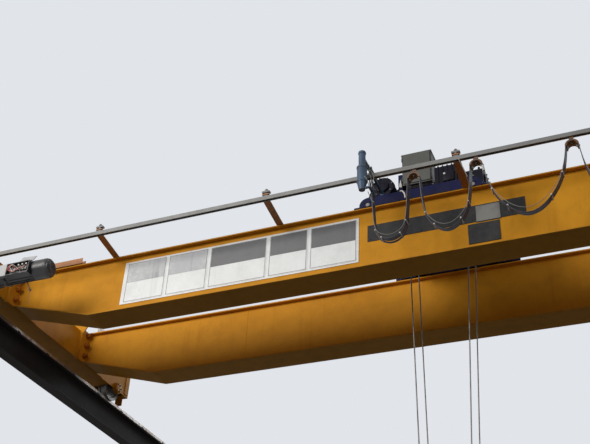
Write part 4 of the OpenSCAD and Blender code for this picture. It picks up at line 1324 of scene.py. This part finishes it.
class CRANE_OT_stage(bpy.types.Operator):
    """Floor, surround, soft lamps and the camera"""

    bl_idname = "crane.stage"
    bl_label = "Stage"

    def execute(self, context):
        make_camera()
        make_floor()
        make_world()
        power = settings().lamp
        middle = (MID, 0, 0.4)
        lamp("Key", (-2.5, -11.5, 4.2), (2.6, 0, 0.5), (7, 5), power, (1.0, 0.97, 0.92))
        lamp("Fill", (15.0, -9.0, 3.5), middle, (5, 4), power * 0.20, (0.93, 0.96, 1.0))
        lamp("Back", (4.0, 12.0, 7.0), middle, (8, 4), power * 0.45, (0.95, 0.98, 1.0))
        context.scene.view_settings.view_transform = "Standard"
        return {"FINISHED"}


class CRANE_OT_finishes(bpy.types.Operator):
    """Give every solid its painted, worn or greased finish"""

    bl_idname = "crane.finishes"
    bl_label = "Finishes"

    def execute(self, context):
        for node, slot in NODE_SLOT.items():
            mesh = NODES[node].data
            mesh.materials.clear()
            mesh.materials.append(finish_of(slot))
        return {"FINISHED"}


class CRANE_OT_bridge(bpy.types.Operator):
    """Bolts, welds, covers and clips of the bridge and the runway"""

    bl_idname = "crane.bridge"
    bl_label = "Bridge details"

    def execute(self, context):
        end_joint_bolts()
        girder_welds()
        hub_covers()
        carriage_details()
        rail_clips()
        trolley_rail_clips()
        bracket_bolts()
        return {"FINISHED"}


class CRANE_OT_signs(bpy.types.Operator):
    """Bare sign panels and plates on the front girder"""

    bl_idname = "crane.signs"
    bl_label = "Signs"

    def execute(self, context):
        sign_panels()
        web_plate_details()
        return {"FINISHED"}


class CRANE_OT_drives(bpy.types.Operator):
    """Cowls, lids, wires and bolts of the travel drives"""

    bl_idname = "crane.drives"
    bl_label = "Travel drives"

    def execute(self, context):
        for side in ("left", "right"):
            drive_ends(side)
            terminal_box(side)
            terminal_wires(side)
            drive_fittings(side)
        return {"FINISHED"}


class CRANE_OT_festoon(bpy.types.Operator):
    """Flat cable loops and the fittings of their carriers"""

    bl_idname = "crane.festoon"
    bl_label = "Festoon"

    def execute(self, context):
        festoon_loops()
        carrier_details()
        return {"FINISHED"}


class CRANE_OT_trolley(bpy.types.Operator):
    """Fittings, bolts and cables of the hoist trolley"""

    bl_idname = "crane.trolley"
    bl_label = "Trolley"

    def execute(self, context):
        gearbox_details()
        motor_details()
        cabinet_details()
        trolley_cables()
        arm_details()
        return {"FINISHED"}


class CRANE_OT_ropes(bpy.types.Operator):
    """Stranded ropes and the fittings of the hook block"""

    bl_idname = "crane.ropes"
    bl_label = "Ropes and hook"

    def execute(self, context):
        ropes()
        hook_details()
        hook_latch()
        return {"FINISHED"}


class CRANE_PT_panel(bpy.types.Panel):
    """Lists the crane's settings and steps"""

    bl_idname = "CRANE_PT_panel"
    bl_label = "Overhead crane"
    bl_space_type = "VIEW_3D"
    bl_region_type = "UI"
    bl_category = "Crane"

    def draw(self, context):
        for name in CraneSettings.__annotations__:
            self.layout.prop(context.scene.crane_looks, name)
        for step in STEPS:
            self.layout.operator(step.bl_idname)


STEPS = (
    CRANE_OT_stage,
    CRANE_OT_finishes,
    CRANE_OT_bridge,
    CRANE_OT_signs,
    CRANE_OT_drives,
    CRANE_OT_festoon,
    CRANE_OT_trolley,
    CRANE_OT_ropes,
)
CLASSES = (CraneSettings, *STEPS, CRANE_PT_panel)


def register():
    for cls in CLASSES:
        bpy.utils.register_class(cls)
    bpy.types.Scene.crane_looks = bpy.props.PointerProperty(type=CraneSettings)


def unregister():
    del bpy.types.Scene.crane_looks
    for cls in reversed(CLASSES):
        bpy.utils.unregister_class(cls)


def main():
    register()
    for step in STEPS:
        group, name = step.bl_idname.split(".")
        getattr(getattr(bpy.ops, group), name)()


if __name__ == "__main__":
    main()
